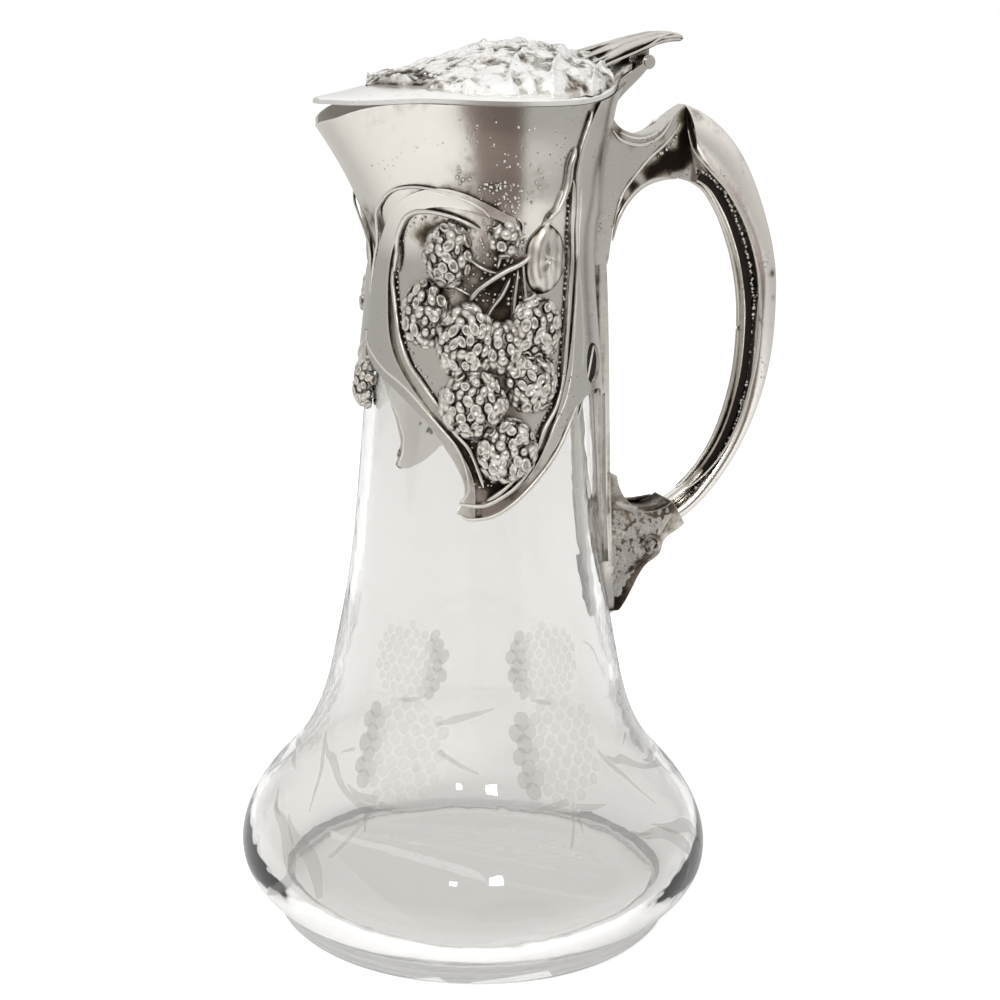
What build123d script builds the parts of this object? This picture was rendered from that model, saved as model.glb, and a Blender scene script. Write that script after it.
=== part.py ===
from build123d import *
import os
from functools import cache
from math import cos, radians, sin

# Claret jug: a blown glass body in a cast and plated metal mount, with a hinged lid.
# Millimetres, +Z up. The origin is the centre of the foot's underside. The spout points to -X and the
# handle to +X. Left is -Y and right is +Y, as seen from the handle. Angles round the sleeve are counted
# from the spout towards the left side.

os.makedirs("parts", exist_ok=True)

# ---------------------------------------------------------------- driving dimensions
# Glass body
belly_radius = 76.8
belly_height = 24.0
foot_radius = 0.846 * belly_radius
foot_height = 6.5
foot_chamfer = 1.2
floor_radius = 0.65 * belly_radius
flank_radius = 0.918 * belly_radius
flank_height = 40.0
shoulder_radius = 0.745 * belly_radius
shoulder_height = 56.0
waist_radius = 49.6
waist_height = 72.0
throat_radius = 45.4
throat_height = 90.0
neck_foot_radius = 42.2
neck_foot_height = 107.0
neck_radius = 38.5
neck_height = 140.0
upper_neck_radius = 34.6
upper_neck_height = 188.0
mouth_radius = 32.3
mouth_height = 216.0
lip_radius = 33.1
lip_height = 231.0
glass_wall = 3.6
glass_base = 7.0

# Collar of the mount
rim_height = 261.1
seat_gap = 0.4            # between the glass and the metal that stands next to it
setting_gap = 0.7         # between the glass and the sleeve, filled with plaster
solder_gap = 0.05         # between soldered pieces of the mount
collar_wall = 1.0
collar_foot_height = 136.0
flare_height = 218.0      # the sleeve starts to flare here
flare_top = rim_height + 14.9
flare_rise = flare_top - flare_height
spout_flare = 34.8        # how far each side moves out over the whole rise of the flare
side_flare = 4.3
back_flare = 10.3
spout_power = 1.4
side_power = 1.1
back_power = 2.4
spout_pinch = 0.45        # how much the spout's flanks draw in
spout_keel = 0.8          # how sharp the spout's front line is
relief_height = 1.3       # the raised frame of the heart panel
collar_front_height = 190.0
collar_back_height = 190.0
arch_height = 175.8       # the border's arch beside the back strap

# Rim: how far it dips at the spout and climbs to the hinge
spout_tip_x = -52.8
spout_tip_height = rim_height - 6.7

# Heart panels
panel_angle = 70.0        # the panels' outlines are drawn square to this angle
berry_stand = 5.2
leaf_height = 2.8
stem_height = 1.4
window_angle = 104.0      # the window is cut in this direction
drop_berry_width = 8.4
drop_berry_length = 15.0
drop_berry_stand = 5.1
drop_berry_height = 177.0
drop_stalk_radius = 1.6

# Back strap
strap_half_width = 9.0
strap_tip_height = 94.0
strap_stand = 6.9         # from the sleeve to the strap's outer face
strap_wall = 1.3
strap_crown_x = 24.0      # the axis that the strap's outer face is turned about
handle_climb = rim_height - strap_tip_height
strap_shoulder_height = strap_tip_height + 0.2 * handle_climb
strap_hollow_height = strap_tip_height + 0.46 * handle_climb
strap_top_height = strap_tip_height + 0.706 * handle_climb

# Handle
grip_half_width = 6.5
rib_half_width = 2.6
web_half_width = 1.6
rib_bead = 2.6
rib_gap = 0.15            # solder between the rib and the sheath
arm_root_half_width = strap_half_width - 0.05
foot_half_width = 6.5

# Hinge
hinge_x = 51.2
hinge_height = rim_height + 12.6
barrel_radius = 2.2
barrel_length = 16.0
lid_knuckle_length = 6.4
knuckle_gap = 0.25
pin_radius = 1.0
pin_clearance = 0.05
pin_head_radius = 1.5
pin_head_length = 0.6
bracket_foot_height = rim_height + 0.9
hinge_run = 0.35          # free space round the moving leaf

# Lid
lid_gap = 0.3
lid_overhang = 0.6
lid_edge = 1.3
lid_wall = 1.8
lid_land = 2.6
foliage_height = 1.2
lid_back_x = 46.0
lid_root_half_width = 7.0

far = 120.0               # longer than any piece that a cut has to cross


# ---------------------------------------------------------------- shared outlines and formulas
def stand_off(outline, height):
    """How far an outline in (radius, height) stands from the axis at a height, found by halving."""
    low, high = 0.0, 1.0
    for _ in range(36):
        middle = (low + high) / 2
        if (outline @ middle).Y < height:
            low = middle
        else:
            high = middle
    return (outline @ low).X


glass_stations = [
    (foot_radius + 0.4, foot_height),
    (belly_radius, belly_height),
    (flank_radius, flank_height),
    (shoulder_radius, shoulder_height),
    (waist_radius, waist_height),
    (throat_radius, throat_height),
    (neck_foot_radius, neck_foot_height),
    (neck_radius, neck_height),
    (upper_neck_radius, upper_neck_height),
    (mouth_radius, mouth_height),
    (lip_radius, lip_height),
]
with BuildLine() as glass_outline:
    Spline(*glass_stations)
glass_edge = glass_outline.line


@cache
def glass_radius(height):
    return stand_off(glass_edge, height)


def reach(height, flare, power):
    """The collar's outer reach to one side: along the glass, then out by a power of the climb."""
    climb = max(0.0, height - flare_height) / flare_rise
    along_glass = glass_radius(min(height, lip_height)) + setting_gap + collar_wall
    return along_glass + flare * climb**power


def sleeve_radius(height):
    return reach(height, side_flare, side_power)


def egg_point(turn, height, grow):
    """A point of the collar's section: an ellipse at the back, and a pinched one at the spout."""
    climb = min(1.0, max(0.0, height - flare_height) / (0.6 * flare_rise))
    front = reach(height, spout_flare, spout_power) + grow
    back = reach(height, back_flare, back_power) + grow
    side = reach(height, side_flare, side_power) + grow
    forward = cos(radians(turn))
    x = -front * forward if forward > 0 else -back * forward
    y = -side * sin(radians(turn)) * (1 - spout_pinch * climb * max(0.0, forward) ** 2)
    return x, y


sleeve_steps = 8
flare_shares = (0.0, 0.12, 0.24, 0.36, 0.5, 0.65, 0.81, 1.0)
collar_heights = [
    collar_foot_height + (flare_height - collar_foot_height) * step / sleeve_steps
    for step in range(sleeve_steps)
] + [flare_height + flare_rise * share for share in flare_shares]


def half_loft(grow, past=0.0, heights=collar_heights):
    """The collar's left half as a solid block, its skin moved out by grow and its flat side by past."""
    with BuildPart() as block:
        for height in heights:
            climb = min(1.0, max(0.0, height - flare_height) / (0.6 * flare_rise))
            half = [egg_point(turn, height, grow) for turn in (0, 20, 42, 66, 90, 114, 138, 160, 180)]
            with BuildSketch(Plane.XY.offset(height)):
                with BuildLine():
                    Spline(*half, tangents=[(spout_keel * climb, -1), (0, 1)], tangent_scalars=[1, 1])
                    if past:
                        Polyline(half[-1], (half[-1][0], past), (half[0][0], past), half[0])
                    else:
                        Line(half[-1], half[0])
                make_face()
        loft()
    return block.part


def whole_loft(grow):
    """The collar's outer shape as one solid block."""
    half = half_loft(grow)
    with BuildPart() as block:
        add(half)
        add(half.mirror(Plane.XZ))
    return block.part


rim_points = [
    (spout_tip_x - 6, spout_tip_height - 6),
    (spout_tip_x, spout_tip_height),
    (-46, rim_height - 2.5),
    (-37, rim_height - 0.2),
    (-20, rim_height + 0.1),
    (12, rim_height),
    (24, rim_height + 1),
    (35, rim_height + 4.2),
    (45.8, rim_height + 10),
    (53, rim_height + 14.5),
]
with BuildLine() as rim_outline:
    Spline(*rim_points)
rim_edge = rim_outline.line


def rim_at(x):
    """The rim's height at a place along the jug, found by halving."""
    low, high = 0.0, 1.0
    for _ in range(36):
        middle = (low + high) / 2
        if (rim_edge @ middle).X < x:
            low = middle
        else:
            high = middle
    return (rim_edge @ low).Y


def rim_half_width(x):
    """Half the collar's width along its rim at a place along the jug."""
    height = rim_at(x)
    turns = [0.5 * step for step in range(361)]
    points = [egg_point(turn, height, 0.0) for turn in turns]
    return -min(points, key=lambda point: abs(point[0] - x))[1]


def side_plane(angle):
    """An upright plane through the axis that faces the given angle round the sleeve."""
    turn = radians(angle)
    return Plane(origin=(0, 0, 0), x_dir=(sin(turn), -cos(turn), 0), z_dir=(-cos(turn), -sin(turn), 0))


panel_plane = side_plane(panel_angle)


def on_panel(angle, height):
    """Where a point of the sleeve lies in the panel plane."""
    return sleeve_radius(height) * sin(radians(angle - panel_angle)), height


def panel_points(points):
    return [on_panel(angle, height) for angle, height in points]


def outline_prism(sketch_plane, points, depth=far, closed=True):
    """A prism with a smooth closed outline, standing out from a plane."""
    with BuildPart() as prism:
        with BuildSketch(sketch_plane):
            with BuildLine():
                Spline(*points, periodic=closed)
            make_face()
        extrude(amount=depth)
    return prism.part


def edged_prism(sketch_plane, curves, corners, depth=far, both=False):
    """A prism whose outline is smooth curves end to end, closed by straight lines through corners."""
    with BuildPart() as prism:
        with BuildSketch(sketch_plane):
            with BuildLine():
                for points in curves:
                    Spline(*points)
                for before, after in zip(curves, curves[1:]):
                    if before[-1] != after[0]:
                        Line(before[-1], after[0])
                Polyline(curves[-1][-1], *corners, curves[0][0])
            make_face()
        extrude(amount=depth, both=both)
    return prism.part


# ---------------------------------------------------------------- glass body
with BuildPart() as glass_body:
    with BuildSketch(Plane.XZ):
        with BuildLine():
            inner_lip = (lip_radius - glass_wall, lip_height)
            add(glass_edge)
            ThreePointArc(
                (lip_radius, lip_height),
                (lip_radius - glass_wall / 2, lip_height + glass_wall / 2),
                inner_lip,
            )
            inner_wall = [(radius - glass_wall, height) for radius, height in reversed(glass_stations[1:])]
            Spline(*inner_wall, (belly_radius - 12, glass_base + 3.5), (floor_radius, glass_base))
            Line((floor_radius, glass_base), (0, glass_base))
            Polyline(
                (0, glass_base),
                (0, 0),
                (foot_radius - foot_chamfer, 0),
                (foot_radius, foot_chamfer),
                (foot_radius + 0.4, foot_height),
            )
        make_face()
    revolve(axis=Axis.Z)
glass_body.part.label = "glass_body"
export_step(glass_body.part, "parts/glass_body.step")


def glass_block(grow):
    """The glass's outer shape as a solid block, grown sideways."""
    with BuildPart() as block:
        with BuildSketch(Plane.XZ):
            with BuildLine():
                Spline(*[(radius + grow, height) for radius, height in glass_stations])
                Polyline(
                    (lip_radius + grow, lip_height),
                    (lip_radius + grow, lip_height + 4),
                    (0, lip_height + 4),
                    (0, foot_height),
                    (foot_radius + 0.4 + grow, foot_height),
                )
            make_face()
        revolve(axis=Axis.Z)
    return block.part


# ---------------------------------------------------------------- shared blocks
outer_half = half_loft(0.0)
inner_half = half_loft(-collar_wall, past=1.0)
relief_half = half_loft(relief_height)
soldered_half = half_loft(solder_gap, past=1.0)
soldered_whole = whole_loft(solder_gap)

with BuildPart() as above_rim:
    with BuildSketch(Plane.XZ):
        with BuildLine():
            add(rim_edge)
            Polyline(rim_points[-1], (far, rim_points[-1][1]), (far, far * 3), (-far, far * 3),
                     (-far, rim_points[0][1]), rim_points[0])
        make_face()
    extrude(amount=far, both=True)

# ---------------------------------------------------------------- outlines of the heart panel
heart_front = panel_points([
    (69, 147.5), (66, 156), (54, 167.2), (38.7, 177.8), (24.5, 188), (17, 202),
    (20, 219.5), (37, 230.2), (60, 232), (88.6, 225.3),
])
heart_back = panel_points([
    (156, 268.5), (131, 258.8), (121, 243), (122, 231), (128.2, 219), (125.5, 205.5),
    (116.7, 184.9), (103.5, 164.5), (90, 151.4), (72, 145.6),
])
arm_outer = panel_points([(86, 229.4), (73.8, 233), (50, 237.6), (30, 234), (10, 222.5), (-8, 206)])
border_front = panel_points([
    (-4, collar_front_height), (4, collar_front_height - 5.5), (22, 179), (44.6, 169.5), (58.3, 158.6),
    (64.3, 149.5), (61.2, 142.4),
])
border_back = panel_points([
    (61.2, 142.4), (65.5, 140.7), (78.3, 142.3), (95.9, 151.6), (112.1, 165.6), (124, arch_height - 3.2),
    (136, arch_height - 0.2), (147, arch_height), (158, arch_height - 3.3),
])
beyond = 2.0 * belly_radius

frame_front = edged_prism(
    panel_plane,
    [heart_front, arm_outer],
    [(-beyond, arm_outer[-1][1]), (-beyond, 0), (heart_front[0][0], 0)],
)
frame_back = edged_prism(
    panel_plane,
    [heart_back],
    [(heart_back[-1][0], 0), (beyond, 0), (beyond, heart_back[0][1])],
    both=True,
)
below_border = edged_prism(
    panel_plane,
    [border_front, border_back],
    [(beyond, border_back[-1][1]), (beyond, 0), (-beyond, 0), (-beyond, border_front[0][1])],
    both=True,
)

# The almond window between the panel's frame and the back strap, cut square to its own angle
window_height = 11.6
window_base = arch_height + 2.6
window_middle = window_base + 0.42 * window_height


def beside_window(angle):
    """Where a place on the sleeve at the window's height lies in the plane that the window is drawn on."""
    return sleeve_radius(window_middle) * sin(radians(angle - window_angle))


window = outline_prism(
    side_plane(window_angle),
    [
        (beside_window(130), window_middle),
        (beside_window(139), window_base + window_height),
        (beside_window(150), window_middle),
        (beside_window(140), window_base),
    ],
)

# Where the back strap lies, nothing of the collar stands proud, and below its back edge there is none
strap_bay = strap_half_width + solder_gap
with BuildPart() as strap_channel:
    with BuildSketch(Plane.XY):
        with Locations((far / 2, 0)):
            Rectangle(far, 2 * strap_bay)
    extrude(amount=3 * far)
with BuildPart() as strap_opening:
    with BuildSketch(Plane.XY):
        with Locations((far / 2, 0)):
            Rectangle(far, 2 * strap_bay)
    extrude(amount=collar_back_height)

# ---------------------------------------------------------------- collar, two half castings
with BuildPart() as frame_relief:
    add(frame_front)
    add(frame_back)
    add(relief_half, mode=Mode.INTERSECT)
    add(strap_channel.part, mode=Mode.SUBTRACT)

with BuildPart() as collar_left:
    add(outer_half)
    add(frame_relief.part)
    add(inner_half, mode=Mode.SUBTRACT)
    add(below_border, mode=Mode.SUBTRACT)
    add(window, mode=Mode.SUBTRACT)
    add(strap_opening.part, mode=Mode.SUBTRACT)
    add(above_rim.part, mode=Mode.SUBTRACT)

collar_left.part.label = "collar_left"
export_step(collar_left.part, "parts/collar_left.step")
collar_right = collar_left.part.mirror(Plane.XZ)
collar_right.label = "collar_right"
export_step(collar_right, "parts/collar_right.step")

# ---------------------------------------------------------------- plaster bed between glass and collar
plaster_top = lip_height - 1.0
plaster_half = half_loft(-collar_wall - solder_gap)
with BuildPart() as plaster_side:
    add(plaster_half)
    with BuildSketch(Plane.XY.offset(plaster_top)):
        Rectangle(2 * far, 2 * far)
    extrude(amount=far, mode=Mode.SUBTRACT)
    add(glass_block(solder_gap), mode=Mode.SUBTRACT)
    add(below_border, mode=Mode.SUBTRACT)
    add(window, mode=Mode.SUBTRACT)
    add(strap_opening.part, mode=Mode.SUBTRACT)
with BuildPart() as plaster_bed:
    add(plaster_side.part)
    add(plaster_side.part.mirror(Plane.XZ))
plaster_bed.part.label = "plaster_bed"
export_step(plaster_bed.part, "parts/plaster_bed.step")

# ---------------------------------------------------------------- bramble sprigs on the heart panels
heart_clip = edged_prism(
    panel_plane,
    [[(u + 0.15, height) for u, height in heart_front]],
    [(heart_front[-1][0] + 6, 246), (heart_back[3][0] - 0.6, 246),
     *[(u - 0.3, height) for u, height in heart_back[4:]]],
)
berries = [
    # angle, height, radius
    (53.7, 218.3, 7.2), (42.6, 200.5, 7.7), (63.5, 192.9, 8.6), (96.9, 196.6, 7.9), (80.1, 192.2, 6.4),
    (93.4, 180.9, 7.4), (67.3, 175.1, 8.8), (82.7, 161.1, 8.0),
]


def boss(angle, height, radius):
    """A domed boss standing on the sleeve, as a ball sunk in it."""
    ball = (radius**2 + berry_stand**2) / (2 * berry_stand)
    seat = sleeve_radius(height) + berry_stand - ball
    turn = radians(angle)
    centre = (-seat * cos(turn), -seat * sin(turn), height)
    with BuildPart() as dome:
        with Locations(centre):
            Sphere(ball)
    return dome.part


def raised(outline, rise):
    """A flat-topped relief of an outline in the panel plane, resting on the sleeve."""
    skin = half_loft(rise, heights=collar_heights[2:-1])
    with BuildPart() as plate:
        with BuildSketch(panel_plane):
            with BuildLine():
                Spline(*outline, periodic=True)
            make_face()
        extrude(amount=far)
        add(skin, mode=Mode.INTERSECT)
    return plate.part


leaf_outline = panel_points([
    (101.5, 227.6), (93.6, 223.1), (91.8, 217.7), (92.7, 210.9), (98.1, 206.8), (107.5, 207.8),
    (113.5, 214.2), (112.5, 222.5), (106.9, 226.8),
])
stem_outline = panel_points([
    (82, 204), (93, 216), (104, 230), (112, 241), (115, 240), (107, 227.5), (95, 213.5),
])
leaf = raised(leaf_outline, leaf_height)
stem = raised(stem_outline, stem_height)

with BuildPart() as sprig_left:
    for angle, height, radius in berries:
        add(boss(angle, height, radius))
    add(heart_clip, mode=Mode.INTERSECT)
    add(leaf)
    add(stem)
    add(soldered_half, mode=Mode.SUBTRACT)
sprig_left.part.label = "bramble_sprig_left"
export_step(sprig_left.part, "parts/bramble_sprig_left.step")
sprig_right = sprig_left.part.mirror(Plane.XZ)
sprig_right.label = "bramble_sprig_right"
export_step(sprig_right, "parts/bramble_sprig_right.step")

# ---------------------------------------------------------------- drop berry at the collar's front
berry_mid = glass_radius(drop_berry_height) + drop_berry_stand - drop_berry_width / 2
berry_half = drop_berry_length / 2
collar_front = sleeve_radius(collar_front_height) + relief_height
framed_whole = whole_loft(relief_height + solder_gap)
with BuildPart() as front_berry:
    with BuildSketch(Plane(origin=(-berry_mid, 0, drop_berry_height), x_dir=(-1, 0, 0), z_dir=(0, 1, 0))):
        with BuildLine():
            Spline(
                (0, -berry_half),
                (0.39 * drop_berry_width, -0.52 * berry_half),
                (0.5 * drop_berry_width, 0.12 * berry_half),
                (0.36 * drop_berry_width, 0.66 * berry_half),
                (0, berry_half),
            )
            Line((0, berry_half), (0, -berry_half))
        make_face()
    revolve(axis=Axis((-berry_mid, 0, 0), (0, 0, 1)))
    add(glass_block(seat_gap), mode=Mode.SUBTRACT)
    with BuildLine() as stalk_line:
        Line(
            (-berry_mid - 0.6, 0, drop_berry_height + berry_half - 1.5),
            (-collar_front - 0.9, 0, collar_front_height + 3),
        )
    with BuildSketch(Plane(origin=stalk_line.line @ 0, z_dir=stalk_line.line % 0)):
        Circle(drop_stalk_radius)
    sweep(path=stalk_line.line)
    add(framed_whole, mode=Mode.SUBTRACT)
front_berry.part.label = "front_berry"
export_step(front_berry.part, "parts/front_berry.step")

# ---------------------------------------------------------------- back strap
strap_span = strap_top_height - strap_tip_height


def strap_reach(height):
    """The strap's outer face in the handle's plane: it stands out less towards its tip."""
    share = 0.35 + 0.65 * (height - strap_tip_height) / strap_span
    return sleeve_radius(height) + strap_stand * share


def strap_crown(inset):
    """The strap's outer face as a solid of revolution, moved in by inset."""
    heights = [strap_tip_height + strap_span * share for share in (0, 0.29, 0.47, 0.69, 1)]
    face = [(strap_reach(height) - inset, height) for height in heights]
    with BuildPart() as block:
        with BuildSketch(Plane.XZ):
            with BuildLine():
                Spline(*face)
                Polyline(
                    face[-1],
                    (strap_crown_x, strap_top_height),
                    (strap_crown_x, strap_tip_height),
                    face[0],
                )
            make_face()
        revolve(axis=Axis((strap_crown_x, 0, 0), (0, 0, 1)))
    return block.part


def strap_block(grow):
    """The strap's outer shape: a crowned band cut to a long leaf, with every side moved out by grow."""
    half = strap_half_width + grow
    tip = strap_tip_height - 2.5 * grow
    side = [
        (half, strap_shoulder_height + 0.18 * handle_climb),
        (0.93 * half, strap_shoulder_height),
        (0.62 * half, tip + 0.5 * (strap_shoulder_height - tip)),
        (0, tip),
    ]
    with BuildPart() as block:
        add(strap_crown(-grow))
        with BuildSketch(Plane.YZ):
            with BuildLine():
                Spline(*side)
                Spline(*[(-y, z) for y, z in side])
                Polyline(side[0], (half, strap_top_height), (-half, strap_top_height), (-half, side[0][1]))
            make_face()
        extrude(amount=far, mode=Mode.INTERSECT)
    return block.part


strap_seat = glass_block(seat_gap)
with BuildPart() as collar_under_strap:
    add(soldered_whole)
    with BuildSketch(Plane.XY.offset(collar_back_height - solder_gap)):
        Rectangle(2 * far, 2 * far)
    extrude(amount=far, mode=Mode.INTERSECT)
with BuildPart() as strap_hollow:
    add(strap_crown(strap_wall))
    with BuildSketch(Plane.XY.offset(strap_tip_height + 4 * strap_wall)):
        Rectangle(2 * far, 2 * far)
    extrude(amount=strap_hollow_height - strap_tip_height - 4 * strap_wall, mode=Mode.INTERSECT)
with BuildPart() as back_strap:
    add(strap_block(0.0))
    add(strap_hollow.part, mode=Mode.SUBTRACT)
    add(strap_seat, mode=Mode.SUBTRACT)
    add(collar_under_strap.part, mode=Mode.SUBTRACT)
back_strap.part.label = "back_strap"
export_step(back_strap.part, "parts/back_strap.step")

# ---------------------------------------------------------------- handle
def level(share):
    """A height on the handle, as a share of the climb from the strap's tip to the rim."""
    return strap_tip_height + share * handle_climb


def levelled(points):
    """Points given as a reach and a share of the climb, as points in (X, Z)."""
    return [(x, level(share)) for x, share in points]


def side_profile(curves, corners, half_width):
    """A plate of a side outline in (X, Z), as wide as asked to each side."""
    return edged_prism(Plane.XZ, curves, corners, depth=half_width, both=True)


# Stations down the grip: the back of the hand's side, the sheath's depth, and the finger side
grip_stations = [
    ((back_x, level(back)), depth, (front_x, level(front)))
    for (back_x, back), depth, (front_x, front) in [
        ((67.0, 0.999), 14.0, (72.5, 0.851)),
        ((76.5, 0.975), 17.0, (76.0, 0.838)),
        ((86.4, 0.922), 15.4, (80.2, 0.802)),
        ((95.0, 0.832), 12.0, (85.0, 0.746)),
        ((101.0, 0.727), 9.2, (88.9, 0.679)),
        ((103.2, 0.616), 9.0, (90.8, 0.604)),
        ((102.4, 0.512), 8.6, (90.8, 0.518)),
        ((98.6, 0.419), 6.8, (88.8, 0.422)),
        ((91.5, 0.325), 5.6, (83.6, 0.338)),
        ((81.4, 0.241), 5.2, (75.6, 0.275)),
        ((70.6, 0.187), 5.2, (66.0, 0.233)),
    ]
]
grip_top_back, _, grip_top_front = grip_stations[0]
grip_end_back, _, grip_end_front = grip_stations[-1]

notch = [
    (41.3, bracket_foot_height), *levelled([(41.5, 0.977), (44.0, 0.957), (48.2, 0.946), (52.7, 0.943)]),
    *levelled([(57.2, 0.952), (61.4, 0.972)]), (grip_top_back[0] - solder_gap, grip_top_back[1]),
]
finger_edge_top = [
    (grip_top_front[0] - solder_gap, grip_top_front[1]),
    *levelled([(65.5, 0.861), (59.0, 0.864), (53.2, 0.853), (47.6, 0.83)]),
    *levelled([(44.0, 0.803), (42.6, 0.772), (42.0, 0.739)]),
    (strap_reach(strap_top_height) + 0.3, strap_top_height + solder_gap),
]
root = arm_root_half_width
arm_plan = [
    (30, root), (38, 0.98 * root), (42, 0.91 * root), (46, 0.79 * root), (52, 6.0), (58, 5.3), (63, 4.2),
    (66.5, 2.7), (72, 2.6),
]
with BuildPart() as arm_crown:
    with BuildSketch(Plane.XZ):
        with BuildLine():
            Spline(*notch)
            Line(notch[-1], finger_edge_top[0])
            Spline(*finger_edge_top)
            Polyline(
                finger_edge_top[-1],
                (strap_crown_x, finger_edge_top[-1][1]),
                (strap_crown_x, bracket_foot_height),
                notch[0],
            )
        make_face()
    revolve(axis=Axis((strap_crown_x, 0, 0), (0, 0, 1)))
with BuildPart() as handle_arm:
    with BuildSketch(Plane.XY.offset(strap_top_height)):
        with BuildLine():
            Spline(*arm_plan)
            Spline(*[(x, -y) for x, y in arm_plan])
            Line(arm_plan[0], (arm_plan[0][0], -arm_plan[0][1]))
            Line(arm_plan[-1], (arm_plan[-1][0], -arm_plan[-1][1]))
        make_face()
    extrude(amount=far)
    add(arm_crown.part, mode=Mode.INTERSECT)
    add(soldered_whole, mode=Mode.SUBTRACT)
handle_arm.part.label = "handle_arm"
export_step(handle_arm.part, "parts/handle_arm.step")


def grip_loft(sections):
    """A loft through closed outlines, each drawn in its station's own plane: inward, then sideways."""
    with BuildPart() as piece:
        for (back, _, front), outline in zip(grip_stations, sections):
            across = Vector(front[0] - back[0], 0, front[1] - back[1])
            down = across.cross(Vector(0, 1, 0))
            with BuildSketch(Plane(origin=(back[0], 0, back[1]), x_dir=across, z_dir=down)):
                with BuildLine():
                    outline()
                make_face()
        loft()
    return piece.part


def sheath_outline(depth):
    """The outer half of the grip: a crowned back with a flat on the finger side."""
    def draw():
        Spline(
            (depth, -0.9 * grip_half_width),
            (0.55 * depth, -grip_half_width),
            (0.16 * depth, -0.68 * grip_half_width),
            (0, 0),
            (0.16 * depth, 0.68 * grip_half_width),
            (0.55 * depth, grip_half_width),
            (depth, 0.9 * grip_half_width),
        )
        Line((depth, 0.9 * grip_half_width), (depth, -0.9 * grip_half_width))
    return draw


def rib_outline(depth, thickness):
    """The inner rib: a web that stands on the sheath, with a rounded bead on the finger side."""
    def draw():
        start = depth + rib_gap
        neck = max(thickness - rib_bead, start + 0.3)
        bead = thickness - neck
        Line((start, -web_half_width), (start, web_half_width))
        Line((start, web_half_width), (neck, web_half_width))
        Spline(
            (neck, web_half_width),
            (neck + 0.3 * bead, rib_half_width),
            (thickness, 0),
            (neck + 0.3 * bead, -rib_half_width),
            (neck, -web_half_width),
        )
        Line((neck, -web_half_width), (start, -web_half_width))
    return draw


def station_thickness(station):
    back, _, front = station
    return (Vector(*front) - Vector(*back)).length


handle_sheath = grip_loft([sheath_outline(depth) for _, depth, _ in grip_stations])
handle_sheath.label = "handle_sheath"
export_step(handle_sheath, "parts/handle_sheath.step")

rib_sections = [rib_outline(station[1], station_thickness(station)) for station in grip_stations]
handle_rib = grip_loft(rib_sections)
handle_rib.label = "handle_rib"
export_step(handle_rib, "parts/handle_rib.step")

foot_top = [
    grip_end_front, *levelled([(60.5, 0.218), (55.2, 0.219), (50.6, 0.235), (47.8, 0.257), (46.4, 0.29)]),
]
foot_back = [
    *levelled([(50.4, 0.006), (53.0, 0.039), (54.8, 0.072), (58.2, 0.109), (62.2, 0.129), (63.2, 0.153)]),
    *levelled([(66.6, 0.17)]), grip_end_back,
]
foot_plan = [
    (half, level(share))
    for half, share in [(5.0, 0.293), (6.6, 0.245), (7.2, 0.186), (6.2, 0.114), (3.6, 0.054), (1.2, 0.006)]
]
grip_end_line = [(x - solder_gap, z) for x, z in (foot_back[-1], foot_top[0])]
with BuildPart() as handle_foot:
    add(side_profile(
        [foot_back[:-1] + grip_end_line[:1], grip_end_line[1:] + foot_top[1:]],
        [(38, foot_top[-1][1]), (38, foot_back[0][1])],
        foot_half_width + 2,
    ))
    with BuildSketch(Plane.YZ):
        with BuildLine():
            Spline(*foot_plan)
            Spline(*[(-y, z) for y, z in foot_plan])
            Line(foot_plan[0], (-foot_plan[0][0], foot_plan[0][1]))
            Line(foot_plan[-1], (-foot_plan[-1][0], foot_plan[-1][1]))
        make_face()
    extrude(amount=far, mode=Mode.INTERSECT)
    add(strap_block(solder_gap), mode=Mode.SUBTRACT)
    add(strap_seat, mode=Mode.SUBTRACT)
handle_foot.part.label = "handle_foot"
export_step(handle_foot.part, "parts/handle_foot.step")

# ---------------------------------------------------------------- hinge
bracket_back = [
    (41.3, bracket_foot_height + solder_gap), (43.2, hinge_height - 9.5), (46.4, hinge_height - 6.5),
    (50.6, hinge_height - 2.2),
]
knuckle_start = lid_knuckle_length / 2 + knuckle_gap
hinge_plane = Plane(origin=(hinge_x, 0, hinge_height), x_dir=(1, 0, 0), z_dir=(0, -1, 0))
with BuildPart() as lower_bracket:
    add(side_profile(
        [bracket_back],
        [(hinge_x, hinge_height), (hinge_x - 6, hinge_height + 4), (30, hinge_height + 4),
         (30, bracket_foot_height + solder_gap)],
        barrel_length / 2,
    ))
    add(above_rim.part, mode=Mode.SUBTRACT)
    add(soldered_whole, mode=Mode.SUBTRACT)
with BuildPart() as hinge_bracket:
    add(lower_bracket.part)
    with BuildSketch(hinge_plane.offset(-barrel_length / 2)):
        Circle(barrel_radius)
    extrude(amount=barrel_length)
    with BuildSketch(hinge_plane.offset(-knuckle_start)):
        Circle(barrel_radius + hinge_run)
        with Locations((0, 2 * barrel_radius)):
            Rectangle(4 * barrel_radius, 4 * barrel_radius)
    extrude(amount=2 * knuckle_start, mode=Mode.SUBTRACT)
    with BuildSketch(hinge_plane.offset(-barrel_length / 2)):
        Circle(pin_radius + pin_clearance)
    extrude(amount=barrel_length, mode=Mode.SUBTRACT)
hinge_bracket.part.label = "hinge_bracket"
export_step(hinge_bracket.part, "parts/hinge_bracket.step")

pin_reach = barrel_length / 2 + solder_gap
with BuildPart() as hinge_pin:
    with BuildSketch(hinge_plane.offset(-pin_reach)):
        Circle(pin_radius)
    extrude(amount=2 * pin_reach)
    for side in (-1, 1):
        with BuildSketch(hinge_plane.offset(side * pin_reach)):
            Circle(pin_head_radius)
        extrude(amount=side * pin_head_length)
hinge_pin.part.label = "hinge_pin"
export_step(hinge_pin.part, "parts/hinge_pin.step")

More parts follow.
